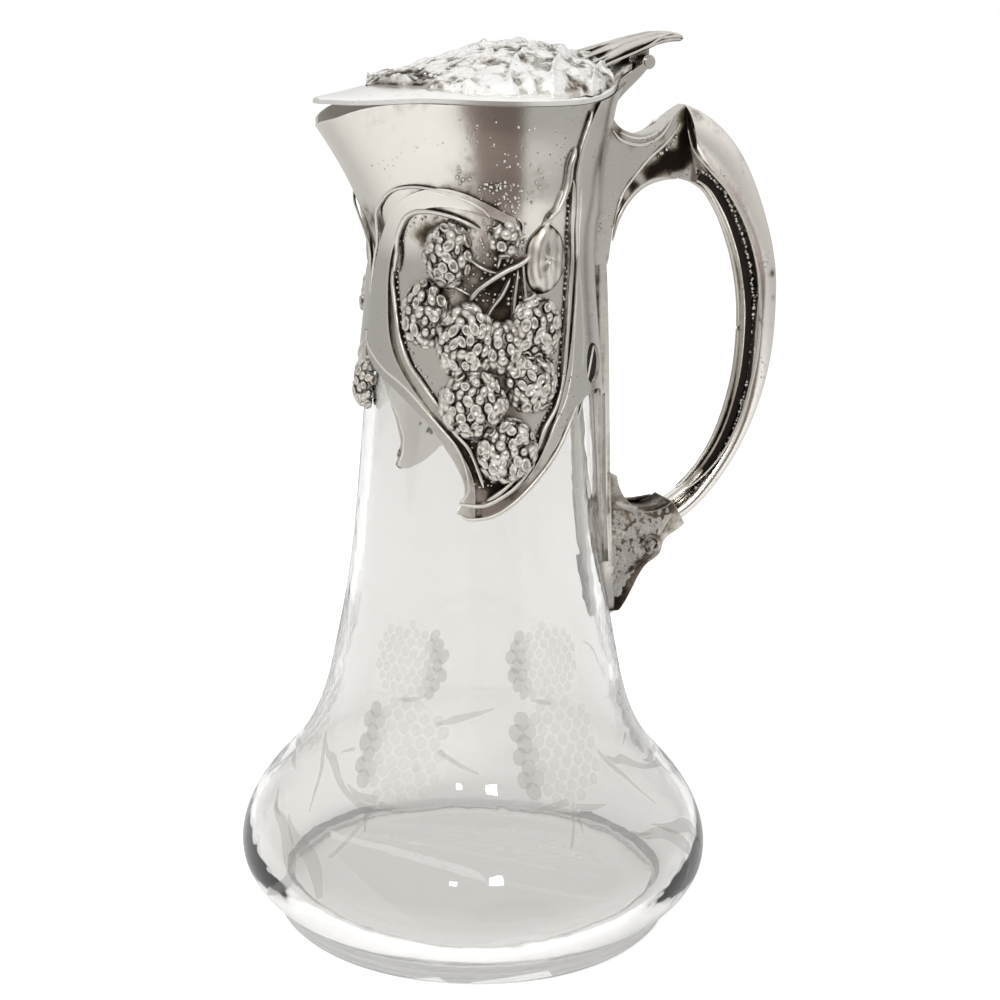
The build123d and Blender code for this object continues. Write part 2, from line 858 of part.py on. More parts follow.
# ---------------------------------------------------------------- lid
lid_stations = [
    # place along the jug, rise of the crown over the rim
    (spout_tip_x + 0.4, 1.7), (-49.5, 2.5), (-45, 3.3), (-38, 4.4), (-28, 6.6), (-15, 11.0), (0, 15.2),
    (12, 16.4), (24, 13.2), (34, 9.2), (41, 6.0), (lid_back_x, 3.6),
]


def lid_floor(x):
    """The lid's underside: just over the rim, and level over the spout's dip."""
    return max(rim_at(x) + lid_gap, rim_height - 0.5)


def lid_half_width(x):
    """Half the lid's width: over the rim, and never narrower than its root behind."""
    root = lid_root_half_width if x > 0 else 0.0
    return max(rim_half_width(x) + lid_overhang, root)


def lid_loft(stations, grow=0.0, floor_drop=0.0):
    """The lid's outer form along the jug: flat below, a short upright edge, and a crowned top."""
    with BuildPart() as block:
        for x, rise in stations:
            half = lid_half_width(x) + grow
            low = lid_floor(x) - floor_drop
            edge = lid_floor(x) + min(lid_edge, 0.6 * rise) + min(grow, 0.0)
            top = lid_floor(x) + rise + grow
            with BuildSketch(Plane.YZ.offset(x)):
                with BuildLine():
                    Polyline((half, edge), (half, low), (-half, low), (-half, edge))
                    Spline(
                        (-half, edge),
                        (-0.84 * half, edge + 0.38 * (top - edge)),
                        (-0.48 * half, edge + 0.81 * (top - edge)),
                        (0, top),
                        (0.48 * half, edge + 0.81 * (top - edge)),
                        (0.84 * half, edge + 0.38 * (top - edge)),
                        (half, edge),
                    )
                make_face()
        loft()
    return block.part


lid_skin = lid_loft(lid_stations)
lid_hollow = lid_loft(
    [(x, rise - lid_wall + lid_land) for x, rise in lid_stations[4:-1]],
    grow=-lid_land,
    floor_drop=2 * lid_edge,
)
leaf_back_x = 31.0
with BuildPart() as lid:
    add(lid_skin)
    add(lid_hollow, mode=Mode.SUBTRACT)
lid.part.label = "lid"
export_step(lid.part, "parts/lid.step")

soldered_lid = lid_loft(lid_stations, grow=solder_gap, floor_drop=4.0)
foliage_plan = [(-36, 0), (-26, 10), (-14, 21), (3, 27), (16, 21), (24, 11), (leaf_back_x, 0)]
with BuildPart() as lid_foliage:
    with BuildSketch(Plane.XY.offset(rim_height)):
        with BuildLine():
            Spline(*foliage_plan)
            Spline(*[(x, -y) for x, y in foliage_plan])
        make_face()
    extrude(amount=far)
    add(lid_loft(lid_stations, grow=foliage_height), mode=Mode.INTERSECT)
    add(soldered_lid, mode=Mode.SUBTRACT)
lid_foliage.part.label = "lid_foliage"
export_step(lid_foliage.part, "parts/lid_foliage.step")

thumb_stations = [
    # place along the jug, mid height over the hinge, half thickness, half width
    (leaf_back_x + 1, -1.1, 3.8, 11.0), (38, 0.9, 3.9, 10.8), (45, 3.9, 3.1, 9.4), (hinge_x, 5.7, 2.8, 7.8),
    (57, 7.3, 2.1, 6.0), (62, 7.7, 1.4, 4.8), (65.7, 7.5, 0.8, 3.0),
]


def thumb_block(grow):
    """The thumb-piece's outer form: ovals that climb back from the lid and narrow to the tip."""
    with BuildPart() as block:
        for x, rise, half_thickness, half_width in thumb_stations:
            with BuildSketch(Plane.YZ.offset(x)):
                with Locations((0, hinge_height + rise)):
                    Ellipse(half_width + grow, half_thickness + grow)
        loft()
    return block.part


with BuildPart() as thumb_piece:
    add(thumb_block(0.0))
    add(soldered_lid, mode=Mode.SUBTRACT)
    with BuildSketch(hinge_plane.offset(-far / 2)):
        Circle(barrel_radius + hinge_run)
    extrude(amount=far, mode=Mode.SUBTRACT)
thumb_piece.part.label = "thumb_piece"
export_step(thumb_piece.part, "parts/thumb_piece.step")

with BuildPart() as lid_knuckle:
    with BuildSketch(hinge_plane.offset(-lid_knuckle_length / 2)):
        Circle(barrel_radius)
        with Locations((-barrel_radius / 2, barrel_radius)):
            Rectangle(3 * barrel_radius, 2 * barrel_radius)
    extrude(amount=lid_knuckle_length)
    with BuildSketch(hinge_plane.offset(-lid_knuckle_length / 2)):
        Circle(pin_radius + pin_clearance)
    extrude(amount=lid_knuckle_length, mode=Mode.SUBTRACT)
    add(thumb_block(solder_gap), mode=Mode.SUBTRACT)
    add(soldered_lid, mode=Mode.SUBTRACT)
lid_knuckle.part.label = "lid_knuckle"
export_step(lid_knuckle.part, "parts/lid_knuckle.step")
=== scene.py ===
from math import radians

import bmesh
import bpy
import numpy as np
from mathutils import Matrix


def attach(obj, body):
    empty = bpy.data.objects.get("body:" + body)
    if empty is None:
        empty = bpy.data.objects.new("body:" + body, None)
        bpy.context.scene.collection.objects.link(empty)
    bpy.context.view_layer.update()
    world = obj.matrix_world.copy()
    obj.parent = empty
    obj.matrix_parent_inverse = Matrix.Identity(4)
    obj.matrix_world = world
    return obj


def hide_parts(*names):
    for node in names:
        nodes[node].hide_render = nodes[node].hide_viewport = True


# Claret jug: the dressed model. Metres, +Z up, origin at the centre of the foot, spout towards -X,
# handle towards +X, left side at -Y.

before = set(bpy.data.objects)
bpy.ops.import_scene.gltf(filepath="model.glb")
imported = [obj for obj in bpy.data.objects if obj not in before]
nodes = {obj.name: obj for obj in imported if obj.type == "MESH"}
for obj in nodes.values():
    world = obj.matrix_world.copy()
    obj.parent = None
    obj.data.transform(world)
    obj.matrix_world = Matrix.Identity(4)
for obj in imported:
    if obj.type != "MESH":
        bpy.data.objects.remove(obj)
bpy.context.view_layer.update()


# ---------------------------------------------------------------- shader maths
class Socket:
    """An output of a shader node, with arithmetic that adds Math nodes."""

    def __init__(self, graph, link):
        self.graph = graph
        self.link = link

    def _math(self, operation, *others):
        return self.graph.add("ShaderNodeMath", {"operation": operation}, *others)

    def __add__(self, other):
        return self._math("ADD", self, other)

    __radd__ = __add__

    def __sub__(self, other):
        return self._math("SUBTRACT", self, other)

    def __rsub__(self, other):
        return self._math("SUBTRACT", other, self)

    def __mul__(self, other):
        return self._math("MULTIPLY", self, other)

    __rmul__ = __mul__

    def clamp(self):
        """Held between 0 and 1."""
        return self._math("MINIMUM", self._math("MAXIMUM", self, 0.0), 1.0)


class Graph:
    """The node tree of one material or world, filled through one method."""

    def __init__(self, owner):
        owner.use_nodes = True
        self.tree = owner.node_tree
        self.tree.nodes.clear()

    def add(self, kind, settings=None, *values, out=0, **named):
        """Adds a node. Settings come first, then socket values by position or by name; returns an output."""
        node = self.tree.nodes.new(kind)
        for name, value in (settings or {}).items():
            if name == "stops":
                ramp = node.color_ramp
                while len(ramp.elements) < len(value):
                    ramp.elements.new(0.5)
                for element, (place, colour) in zip(ramp.elements, value):
                    element.position = place
                    element.color = (*colour, 1.0)
            else:
                setattr(node, name, value)
        for key, value in [*enumerate(values), *((k.replace("_", " "), v) for k, v in named.items())]:
            if isinstance(value, Socket):
                self.tree.links.new(value.link, node.inputs[key])
            else:
                node.inputs[key].default_value = value
        return Socket(self, node.outputs[out]) if node.outputs else None

    def coords(self, name="Object"):
        """Texture coordinates, named as the node's output."""
        node = self.tree.nodes.new("ShaderNodeTexCoord")
        return Socket(self, node.outputs[name])

    def noise(self, place, scale, detail=4.0, rough=0.5):
        """Fractal noise with a scale in waves per metre."""
        return self.add("ShaderNodeTexNoise", None, Vector=place, Scale=scale, Detail=detail,
                        Roughness=rough)

    def ramp(self, value, *stops):
        """A colour ramp from (place, colour) pairs."""
        return self.add("ShaderNodeValToRGB", {"stops": stops}, value)

    def mix(self, share, first, second):
        """A colour between two, by a share."""
        return self.add("ShaderNodeMixRGB", None, share, first, second)

    def vector(self, operation, *values, out=0):
        """Vector maths. A length, a distance or a dot product is output 1."""
        return self.add("ShaderNodeVectorMath", {"operation": operation}, *values, out=out)

    def step(self, value, low, high):
        """0 below low and 1 above high, with a soft rise between."""
        return self.add("ShaderNodeMapRange", {"interpolation_type": "SMOOTHSTEP"}, value, low, high)

    def surface(self, shader):
        self.add("ShaderNodeOutputMaterial", None, shader)


def rgb(red, green, blue):
    """A colour of 0 to 255 sRGB numbers as the linear colour that a shader takes."""
    values = np.array([red, green, blue]) / 255
    linear = np.where(values <= 0.04045, values / 12.92, ((values + 0.055) / 1.055) ** 2.4)
    return (*linear.tolist(), 1.0)


def blank_finish(name):
    """A new material and the graph that fills it."""
    material = bpy.data.materials.new(name)
    return material, Graph(material)


def ray_kinds(graph):
    """Shares of 0 or 1 for rays from the camera, off metal, inside glass, and past any glass."""
    path = graph.tree.nodes.new("ShaderNodeLightPath")
    names = "Is Camera Ray", "Is Glossy Ray", "Is Transmission Ray", "Transmission Depth"
    looked_at, reflected, refracted, depth = (Socket(graph, path.outputs[name]) for name in names)
    return looked_at, reflected, refracted, depth.clamp()


# ---------------------------------------------------------------- camera, light and floor
scene = bpy.context.scene
scene.view_settings.view_transform = "Standard"

turn, pitch, roll = radians(20.0), 0.243704, radians(0.8)
eye_distance, eye_height = 0.563685, 0.276586
eye = np.array([-eye_distance * np.sin(turn), -eye_distance * np.cos(turn), eye_height])
ahead = np.array([np.sin(turn) * np.cos(pitch), np.cos(turn) * np.cos(pitch), -np.sin(pitch)])
level_right = np.array([np.cos(turn), -np.sin(turn), 0.0])
level_up = np.cross(level_right, ahead)
right = np.cos(roll) * level_right + np.sin(roll) * level_up
up = np.cos(roll) * level_up - np.sin(roll) * level_right
camera_data = bpy.data.cameras.new("camera")
camera_data.lens = 65.16
camera_data.sensor_width = 36.0
camera_data.shift_x = 0.02224
camera_data.clip_start = 0.01
camera = bpy.data.objects.new("camera", camera_data)
pose = np.column_stack([right, up, -ahead, eye])
camera.matrix_world = Matrix([[*row] for row in np.vstack([pose, [0, 0, 0, 1]])])
scene.collection.objects.link(camera)
scene.camera = camera

world = bpy.data.worlds.new("studio")
scene.world = world
air = Graph(world)
looked_at, reflected, refracted, through_glass = ray_kinds(air)
heading = air.coords("Generated")
# A dark doorway stands behind the camera. Only polished metal shows it, and the floor carries it on. Its edge
# is between two cosines, and the sky's rise between two sines of the height.
DOOR = (-0.02, -1.0, 0.0)
DOOR_EDGE = 0.915, 0.955
DOOR_SHADE = (0.20, 0.165, 0.15, 1.0)
SKY_RISE = -0.1, 0.75
SKY_LOW = (0.60, 0.59, 0.575, 1.0)
ROOM_GREY = (0.62, 0.62, 0.62, 1.0)
WHITE = (1.0, 1.0, 1.0, 1.0)
PAST_GLASS = 0.7
door = air.vector("DOT_PRODUCT", heading, DOOR, out=1)
height_up = air.add("ShaderNodeSeparateXYZ", None, heading, out=2)
shade = air.step(door, *DOOR_EDGE)
sky = air.mix(air.step(height_up, *SKY_RISE), SKY_LOW, WHITE)
glint = air.mix(shade, sky, DOOR_SHADE)
lit = air.mix(reflected, ROOM_GREY, glint)
lit = air.mix((looked_at + refracted + through_glass * PAST_GLASS).clamp(), lit, WHITE)
air.add("ShaderNodeOutputWorld", None, air.add("ShaderNodeBackground", None, lit, 1.0))


def lamp(name, place, target, size, watts):
    """A square soft lamp at a place, facing a target."""
    data = bpy.data.lights.new(name, "AREA")
    data.size = size
    data.energy = watts
    obj = bpy.data.objects.new(name, data)
    away = np.array(place, float) - np.array(target, float)
    away /= np.linalg.norm(away)
    side = np.cross((0.0, 0.0, 1.0), away)
    side /= np.linalg.norm(side)
    rows = np.column_stack([side, np.cross(away, side), away, place])
    obj.matrix_world = Matrix([*rows.tolist(), [0, 0, 0, 1]])
    scene.collection.objects.link(obj)
    return obj


for name, place, size, watts in (
    ("key_lamp", (-0.75, -0.55, 0.85), 0.45, 9.0),
    ("fill_lamp", (0.65, -0.75, 0.45), 0.6, 3.0),
):
    unseen = lamp(name, place, (0, 0, 0.15), size, watts)
    unseen.visible_glossy = False
    unseen.visible_transmission = False
for name, place, size, watts in (
    ("high_glint", (-0.133, -1.013, 0.767), 0.13, 1.5),
    ("side_glint", (-0.52, -0.909, 0.734), 0.08, 0.6),
):
    lamp(name, place, (0, 0, 0.06), size, watts).visible_transmission = False
floor_mesh = bpy.data.meshes.new("floor")
floor_mesh.from_pydata([(-9, -9, 0), (9, -9, 0), (9, 9, 0), (-9, 9, 0)], [], [(0, 1, 2, 3)])
floor = bpy.data.objects.new("floor", floor_mesh)
scene.collection.objects.link(floor)
floor_paint, g = blank_finish("floor_paint")
floor_mesh.materials.append(floor_paint)
looked_at, reflected, refracted, through_glass = ray_kinds(g)
# The doorway's dark wedge on the floor: its heading, the cosines of its soft edges, and the metres from the
# origin over which it sets in.
WEDGE = (-0.06, -0.998, 0.0)
WEDGE_EDGE, WEDGE_START = (0.90, 0.95), (0.45, 0.65)
FLOOR_PALE = (0.86, 0.86, 0.86, 1.0)
FLOOR_DARK = (0.26, 0.21, 0.19, 1.0)
FLOOR_GLOW = 0.55
place = g.coords()
way = g.vector("NORMALIZE", place)
toward = g.vector("DOT_PRODUCT", way, WEDGE, out=1)
far_off = g.vector("LENGTH", place, out=1)
wedge = g.step(toward, *WEDGE_EDGE) * g.step(far_off, *WEDGE_START) * reflected
wedge = wedge * (1 - through_glass)
matt = g.add("ShaderNodeBsdfDiffuse", None, FLOOR_PALE)
glow = g.add("ShaderNodeEmission", None, WHITE, looked_at * FLOOR_GLOW + refracted * FLOOR_GLOW)
pale = g.add("ShaderNodeAddShader", None, matt, glow)
dark = g.add("ShaderNodeBsdfDiffuse", None, FLOOR_DARK)
g.surface(g.add("ShaderNodeMixShader", None, wedge, pale, dark))


# ---------------------------------------------------------------- finishes
MM = 0.001
NECK_RADIUS, NECK_HEIGHT, NECK_TAPER = 38.5, 140.0, 0.0816
BED_STAND = 0.9
# Painted glow of the plaster bed and of the collar's inward faces: its strength and its near-white colour. It
# stands in for light that reaches them through the glass.
BED_PAINTED_GLOW = 0.7
BED_PAINTED_GLOW_COLOUR = rgb(255, 253, 249)


def plated_silver(name, spots=(), patina=1.0, polish=0.16, grain_size=0.35, depth=0.0001, flecks=0.7,
                  streak=0.0, pale=(208, 204, 196), bedded=False):
    """Silver plate over pewter: warm grey, brown-black in hollows and where the tarnish attribute says so,
    with pits, grain and worn bright edges. Spots are (place in metres, radius in metres, strength), on both
    sides of the jug. Patina scales the dark of the hollows, polish is the roughness where clean, and depth
    is the grain's in metres. Flecks says how much fine stains vary, streak how much drawn upright ones do,
    and pale is the clean metal in 0 to 255. Where bedded, faces towards the axis (the seat against the glass
    and the inside of the spout) are pale matt plaster with a painted glow. The glow stands in for the light
    that reaches them through the glass and the spout."""
    material, g = blank_finish(name)
    place = g.coords()
    marked = g.add("ShaderNodeAttribute", {"attribute_name": "tarnish"}, out=2)
    hollow = 1 - g.add("ShaderNodeAmbientOcclusion", {"samples": 8}, Distance=0.0035, out=1)
    wear = 1 - g.add("ShaderNodeAmbientOcclusion", {"samples": 6, "inside": True}, Distance=0.0006, out=1)
    cloud = g.noise(place, 45.0, 6.0, 0.62)
    fleck = g.noise(place, 330.0, 4.0, 0.6)
    parts = [g.add("ShaderNodeSeparateXYZ", None, place, out=axis) for axis in range(3)]
    near_side = g.add("ShaderNodeMath", {"operation": "ABSOLUTE"}, parts[1]) * -1.0
    folded = g.add("ShaderNodeCombineXYZ", None, parts[0], near_side, parts[2])
    dark = hollow * 1.25 * patina + marked * 0.85 + (cloud - 0.5) * 1.1 + (fleck - 0.5) * flecks
    if streak:
        drawn = g.vector("MULTIPLY", place, (1.0, 1.0, 0.02))
        dark = dark + 0.26 + (g.noise(drawn, 420.0, 3.0) - 0.5) * streak
    for centre, radius, strength in spots:
        away = g.vector("DISTANCE", folded, tuple(centre), out=1)
        dark = dark + (1 - g.step(away, 0.0, radius)) * strength
    stain = g.step(dark, 0.12, 1.05)
    colour = g.ramp(stain, (0.0, rgb(*pale)[:3]), (0.32, rgb(176, 170, 160)[:3]),
                    (0.62, rgb(104, 92, 80)[:3]), (1.0, rgb(34, 28, 24)[:3]))
    colour = g.mix(g.step(wear, 0.1, 0.5) * 0.55, colour, rgb(232, 229, 222))
    cells = g.add("ShaderNodeTexVoronoi", None, Vector=place, Scale=640.0)
    pit = (1 - g.step(cells, 0.10, 0.28)) * g.step(g.noise(place, 95.0, 2.0), 0.54, 0.68)
    colour = g.mix(pit * 0.75, colour, rgb(60, 50, 42))
    height = g.noise(place, 1500.0, 3.0, 0.65) * grain_size - pit * 1.6 + fleck * 0.5 * (1 + flecks)
    bump = g.add("ShaderNodeBump", None, Strength=0.4, Distance=depth, Height=height)
    rough = polish + stain * 0.3 + cloud * 0.08
    metal = g.add("ShaderNodeBsdfPrincipled", None, Base_Color=colour, Metallic=1.0, Roughness=rough,
                  Normal=bump)
    # Painted glow: faces towards the axis get pale matt plaster with an emission. It is near white where they
    # sit against the glass and dim grey elsewhere, such as inside the spout, and it stands in for the light
    # falling on them.
    if bedded:
        level = g.vector("MULTIPLY", place, (1.0, 1.0, 0.0))
        out = g.vector("NORMALIZE", level)
        facing = g.vector("DOT_PRODUCT", g.coords("Normal"), out, out=1)
        from_axis = g.vector("LENGTH", level, out=1)
        seat = (NECK_RADIUS + BED_STAND - (parts[2] * 1000.0 - NECK_HEIGHT) * NECK_TAPER) * MM
        seated = g.step(seat - from_axis, -0.0001, 0.0001)
        inside = seated + g.step(facing * -1.0, 0.35, 0.6)
        glow = g.mix(seated, rgb(70, 69, 67), BED_PAINTED_GLOW_COLOUR)
        bed = g.add("ShaderNodeBsdfPrincipled", None, Base_Color=rgb(214, 210, 203), Roughness=0.9,
                    Emission_Color=glow, Emission_Strength=BED_PAINTED_GLOW)
        metal = g.add("ShaderNodeMixShader", None, inside.clamp(), metal, bed)
    g.surface(metal)
    return material


def clear_glass():
    """Blown glass, nearly colourless, with a faint grey tint."""
    material, g = blank_finish("clear_glass")
    g.surface(g.add("ShaderNodeBsdfPrincipled", None, Base_Color=rgb(221, 220, 218), Roughness=0.0, IOR=1.5,
                    Transmission_Weight=1.0))
    return material


# ---------------------------------------------------------------- surfaces
GOLDEN_TURN = np.pi * (3 - np.sqrt(5))


def quads(rows, cols, wrap=False):
    """Corner numbers of the quads of a grid; wrap joins the last column to the first."""
    row, col = np.mgrid[0:rows - 1, 0:cols if wrap else cols - 1]
    after = (col + 1) % cols
    low, high = row * cols, (row + 1) * cols
    return np.stack([low + col, low + after, high + after, high + col], -1)


def patch(points, tarnish=0.0, wrap=False):
    """A grid of points, or many alike grids, as (points, quads, tarnish per point)."""
    *copies, rows, cols, _ = points.shape
    count = int(np.prod(copies)) if copies else 1
    corners = quads(rows, cols, wrap).reshape(-1, 4)
    faces = (np.arange(count)[:, None, None] * rows * cols + corners[None]).reshape(-1, 4)
    stain = np.broadcast_to(tarnish, points.shape[:-1])
    return points.reshape(-1, 3), faces, stain.reshape(-1)


def mirrored(part):
    """A patch on the other side of the jug, with its faces turned to stay outward."""
    points, faces, stain = part
    return points * [1, -1, 1], faces[:, ::-1], stain


def build(name, parts, material, body="jug", stands_for=()):
    """One piece from patches in millimetres: joined, poles closed, smooth, and riding on a body."""
    offsets = np.cumsum([0] + [len(points) for points, _, _ in parts[:-1]])
    points = np.concatenate([part[0] for part in parts]) * MM
    faces = np.concatenate([part[1] + offset for part, offset in zip(parts, offsets)])
    mesh = bpy.data.meshes.new(name)
    mesh.from_pydata(points, [], faces)
    mesh.attributes.new("tarnish", "FLOAT", "POINT").data.foreach_set(
        "value", np.concatenate([part[2] for part in parts]).astype(np.float32),
    )
    grid = bmesh.new()
    grid.from_mesh(mesh)
    bmesh.ops.remove_doubles(grid, verts=grid.verts, dist=1e-6)
    grid.to_mesh(mesh)
    grid.free()
    mesh.polygons.foreach_set("use_smooth", np.ones(len(mesh.polygons), bool))
    mesh.materials.append(material)
    obj = bpy.data.objects.new(name, mesh)
    scene.collection.objects.link(obj)
    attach(obj, body)
    if stands_for:
        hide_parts(*stands_for)


def smooth_path(stops, count, closed=False):
    """Points evenly spread along a Catmull-Rom curve through the stops."""
    stops = np.array(stops, float)
    if closed:
        ends = stops[-1:], stops[:2]
    else:
        ends = 2 * stops[:1] - stops[1:2], 2 * stops[-1:] - stops[-2:-1]
    knots = np.concatenate([ends[0], stops, ends[1]])
    share = np.linspace(0, 1, 12, endpoint=False)[None, :, None]
    a, b, c, d = (knots[k:len(knots) - 3 + k, None] for k in range(4))
    cubic = 0.5 * (2 * b + (c - a) * share + (2 * a - 5 * b + 4 * c - d) * share**2
                   + (3 * b - a - 3 * c + d) * share**3)
    fine = np.concatenate([cubic.reshape(-1, stops.shape[1]), knots[-2:-1]])
    run = np.concatenate([[0], np.cumsum(np.linalg.norm(np.diff(fine, axis=0), axis=1))])
    places = np.linspace(0, run[-1], count)
    return np.stack([np.interp(places, run, column) for column in fine.T], -1)


def outer_wall(name):
    """Heights and radii of a turned node's outer wall: its triangles that face away from the axis."""
    data = nodes[name].data
    points = np.empty(3 * len(data.vertices))
    data.vertices.foreach_get("co", points)
    corner = np.empty(len(data.loops), int)
    data.loops.foreach_get("vertex_index", corner)
    triangle = points.reshape(-1, 3)[corner].reshape(-1, 3, 3) / MM
    facing = np.cross(triangle[:, 1] - triangle[:, 0], triangle[:, 2] - triangle[:, 0])
    middle = triangle.mean(1)
    away = (facing[:, :2] * middle[:, :2]).sum(1)
    scale = np.linalg.norm(facing, axis=1) * np.hypot(middle[:, 0], middle[:, 1])
    wall = triangle[away > 0.3 * scale].reshape(-1, 3)
    heights, first = np.unique(wall[:, 2].round(2), return_index=True)
    return heights, np.hypot(wall[first, 0], wall[first, 1])


wall_heights, wall_radii = outer_wall("glass_body")
glass_top = 231.0
flare_foot, flare_rise = 218.0, 58.0
sleeve_stand = 1.7
PANEL_RISE = 1.3
# The collar's flare at the spout, the back and the sides: (millimetres at full climb, power of the climb).
# The spout is pinched by a share of its width, fully so from a share of the climb.
SPOUT_FLARE, BACK_FLARE, SIDE_FLARE = (34.8, 1.4), (10.3, 2.4), (4.3, 1.1)
SPOUT_PINCH, PINCHED_BY = 0.45, 0.6


def glass_radius(height):
    """The outer radius of the glass at a height."""
    return np.interp(height, wall_heights, wall_radii)


def collar(angle, height, lift=0.0):
    """Points over the collar's skin. Its section is an ellipse behind and a pinched one at the spout, and it
    flares by a power of the climb. Angles are in degrees from the spout, and lift is the distance out."""
    turn, height = np.radians(angle), np.asarray(height, float)
    climb = np.maximum(0, height - flare_foot) / flare_rise
    near_glass = glass_radius(np.minimum(height, glass_top)) + sleeve_stand + lift
    front, back, side = (near_glass + reach * climb**power
                         for reach, power in (SPOUT_FLARE, BACK_FLARE, SIDE_FLARE))
    forward = np.cos(turn)
    pinch = 1 - SPOUT_PINCH * np.minimum(1, climb / PINCHED_BY) * np.maximum(0, forward) ** 2
    x = -np.where(forward > 0, front, back) * forward
    return np.stack(np.broadcast_arrays(x, -side * np.sin(turn) * pinch, height), -1)


def neck_radius(height):
    """The collar's plain radius at a height, for turning widths into angles."""
    return glass_radius(np.minimum(height, glass_top)) + sleeve_stand


def chart(path):
    """For a path of (angle, height): the unit sideways direction at each point, square to the path's slope in
    millimetres along the skin, and the millimetres in a degree there."""
    per_degree = np.radians(neck_radius(path[:, 1]))
    ahead = np.gradient(path * np.stack([per_degree, np.ones_like(per_degree)], -1), axis=0)
    ahead /= np.linalg.norm(ahead, axis=1, keepdims=True) + 1e-9
    return np.stack([-ahead[:, 1], ahead[:, 0]], -1), per_degree


def moulding(stops, profile, base=PANEL_RISE, width=1.0, count=90, ends=0.0):
    """A raised strip along a path on the collar. Its profile is (across, rise, tarnish) rows, carried square
    to the path; ends is the share of the length over which it dies away at both ends."""
    path = smooth_path(stops, count)
    sideways, per_degree = chart(path)
    across, rise, stain = np.array(profile, float).T
    along = np.linspace(0, 1, count)
    taper = np.clip(np.minimum(along, 1 - along) / ends, 0, 1) ** 0.5 if ends else np.ones(count)
    widths = np.atleast_1d(width)
    spread = across[None, :] * np.interp(along, np.linspace(0, 1, len(widths)), widths)[:, None]
    spread = spread * (0.25 + 0.75 * taper[:, None])
    angle = path[:, :1] + sideways[:, :1] * spread / per_degree[:, None]
    height = path[:, 1:] + sideways[:, 1:] * spread
    return patch(collar(angle, height, base + rise[None, :] * taper[:, None]), stain[None, :])


def half_round(width, rise, stain=0.0):
    """A rounded strip's profile, sunk a little at both edges."""
    share = np.linspace(-1, 1, 9)
    return np.stack([share * width / 2, rise * np.sqrt(np.maximum(0, 1 - share**2)) - 0.15,
                     stain + 0.6 * np.abs(share) ** 6], -1)


def domes(centres, outward, upward, sizes, rings, segments=9):
    """Many small raised shapes: rings turned about their outward directions. Each ring is (radius, height,
    tarnish), in shares of the sizes, which are half width, half height and depth."""
    outward = outward / np.linalg.norm(outward, axis=-1, keepdims=True)
    side = np.cross(upward, outward)
    side /= np.linalg.norm(side, axis=-1, keepdims=True) + 1e-9
    over = np.cross(outward, side)
    radius, rise, stain = np.array(rings, float).T
    turn = np.linspace(0, 2 * np.pi, segments, endpoint=False)
    level = np.broadcast_to(rise[:, None], (len(radius), segments))
    ring = radius[:, None] * np.cos(turn), radius[:, None] * np.sin(turn), level
    wide, tall, deep = (sizes[:, k, None, None, None] for k in range(3))
    points = centres[:, None, None] + wide * ring[0][None, ..., None] * side[:, None, None]
    points = points + tall * ring[1][None, ..., None] * over[:, None, None]
    points = points + deep * ring[2][None, ..., None] * outward[:, None, None]
    return patch(points, stain[None, :, None], wrap=True)


CUP = [(0.0, 0.5, 0.25), (0.38, 0.54, 0.2), (0.60, 0.74, 0.0), (0.74, 0.80, 0.0), (0.86, 0.64, 0.2),
       (0.98, 0.1, 0.95), (1.0, -0.6, 1.0)]
DOME = [(0.0, 0.86, 0.05), (0.4, 0.80, 0.0), (0.66, 0.62, 0.1), (0.86, 0.36, 0.45), (0.98, 0.0, 1.0),
        (1.0, -0.6, 1.0)]
PEARL = [(0.0, 1.0, 0.0), (0.5, 0.87, 0.0), (0.86, 0.5, 0.3), (1.0, 0.0, 0.9), (0.9, -0.4, 1.0)]


def berry(place, outward, upward, half_sizes, seed, fruit=1.62, below=0.12):
    """A blackberry: a dark body with cups spread over it on a golden spiral, from its crown to its skirt. The
    cups are longer than wide, of uneven size, and each leans its own way."""
    outward = np.asarray(outward, float) / np.linalg.norm(outward)
    side = np.cross(upward, outward)
    side /= np.linalg.norm(side)
    over = np.cross(outward, side)
    basis = np.stack([side, over, outward])
    wide, tall, deep = half_sizes
    skin = 2.9 * np.pi * (wide * tall + wide * deep + tall * deep) / 3
    count = int(skin / (3.1 * fruit**2))
    luck = np.random.default_rng(seed + 10)
    share = (np.arange(count) + 0.5) / count
    rise = 1 - (1 + below) * share
    ring = np.sqrt(1 - rise**2)
    turn = GOLDEN_TURN * np.arange(count) + seed + luck.normal(0, 0.10, count)
    ball = np.stack([ring * np.cos(turn), ring * np.sin(turn), rise], -1)
    local = ball * half_sizes
    slope = ball / half_sizes + luck.normal(0, 0.018, (count, 3))
    lean = np.stack([luck.normal(0, 0.45, count), np.ones(count), np.zeros(count)], -1) @ basis
    sizes = fruit * luck.uniform(0.92, 1.34, (count, 1)) * [0.9, 1.2, 1.0]
    sizes = sizes * luck.uniform(0.85, 1.2, (count, 3))
    cupped = luck.uniform(0, 1, count) < 0.45
    cups = [domes(place + (local @ basis)[pick], (slope @ basis)[pick], lean[pick], sizes[pick], rings)
            for pick, rings in ((cupped, CUP), (~cupped, DOME))]
    tilt, spin = np.meshgrid(np.linspace(0.02, 1.75, 9), np.linspace(0, 2 * np.pi, 18, endpoint=False),
                             indexing="ij")
    core = np.stack([np.sin(tilt) * np.cos(spin), np.sin(tilt) * np.sin(spin), np.cos(tilt)], -1)
    return [*cups, patch(place + (core * half_sizes) @ basis, 1.0, wrap=True)]


def berry_on_collar(angle, height, half_sizes, seed):
    """A berry that stands square on the collar."""
    place = collar(angle, height, 0.2)
    outward = collar(angle, height, 1.0) - collar(angle, height, 0.0)
    return berry(place, outward, (0, 0, 1), half_sizes, seed)


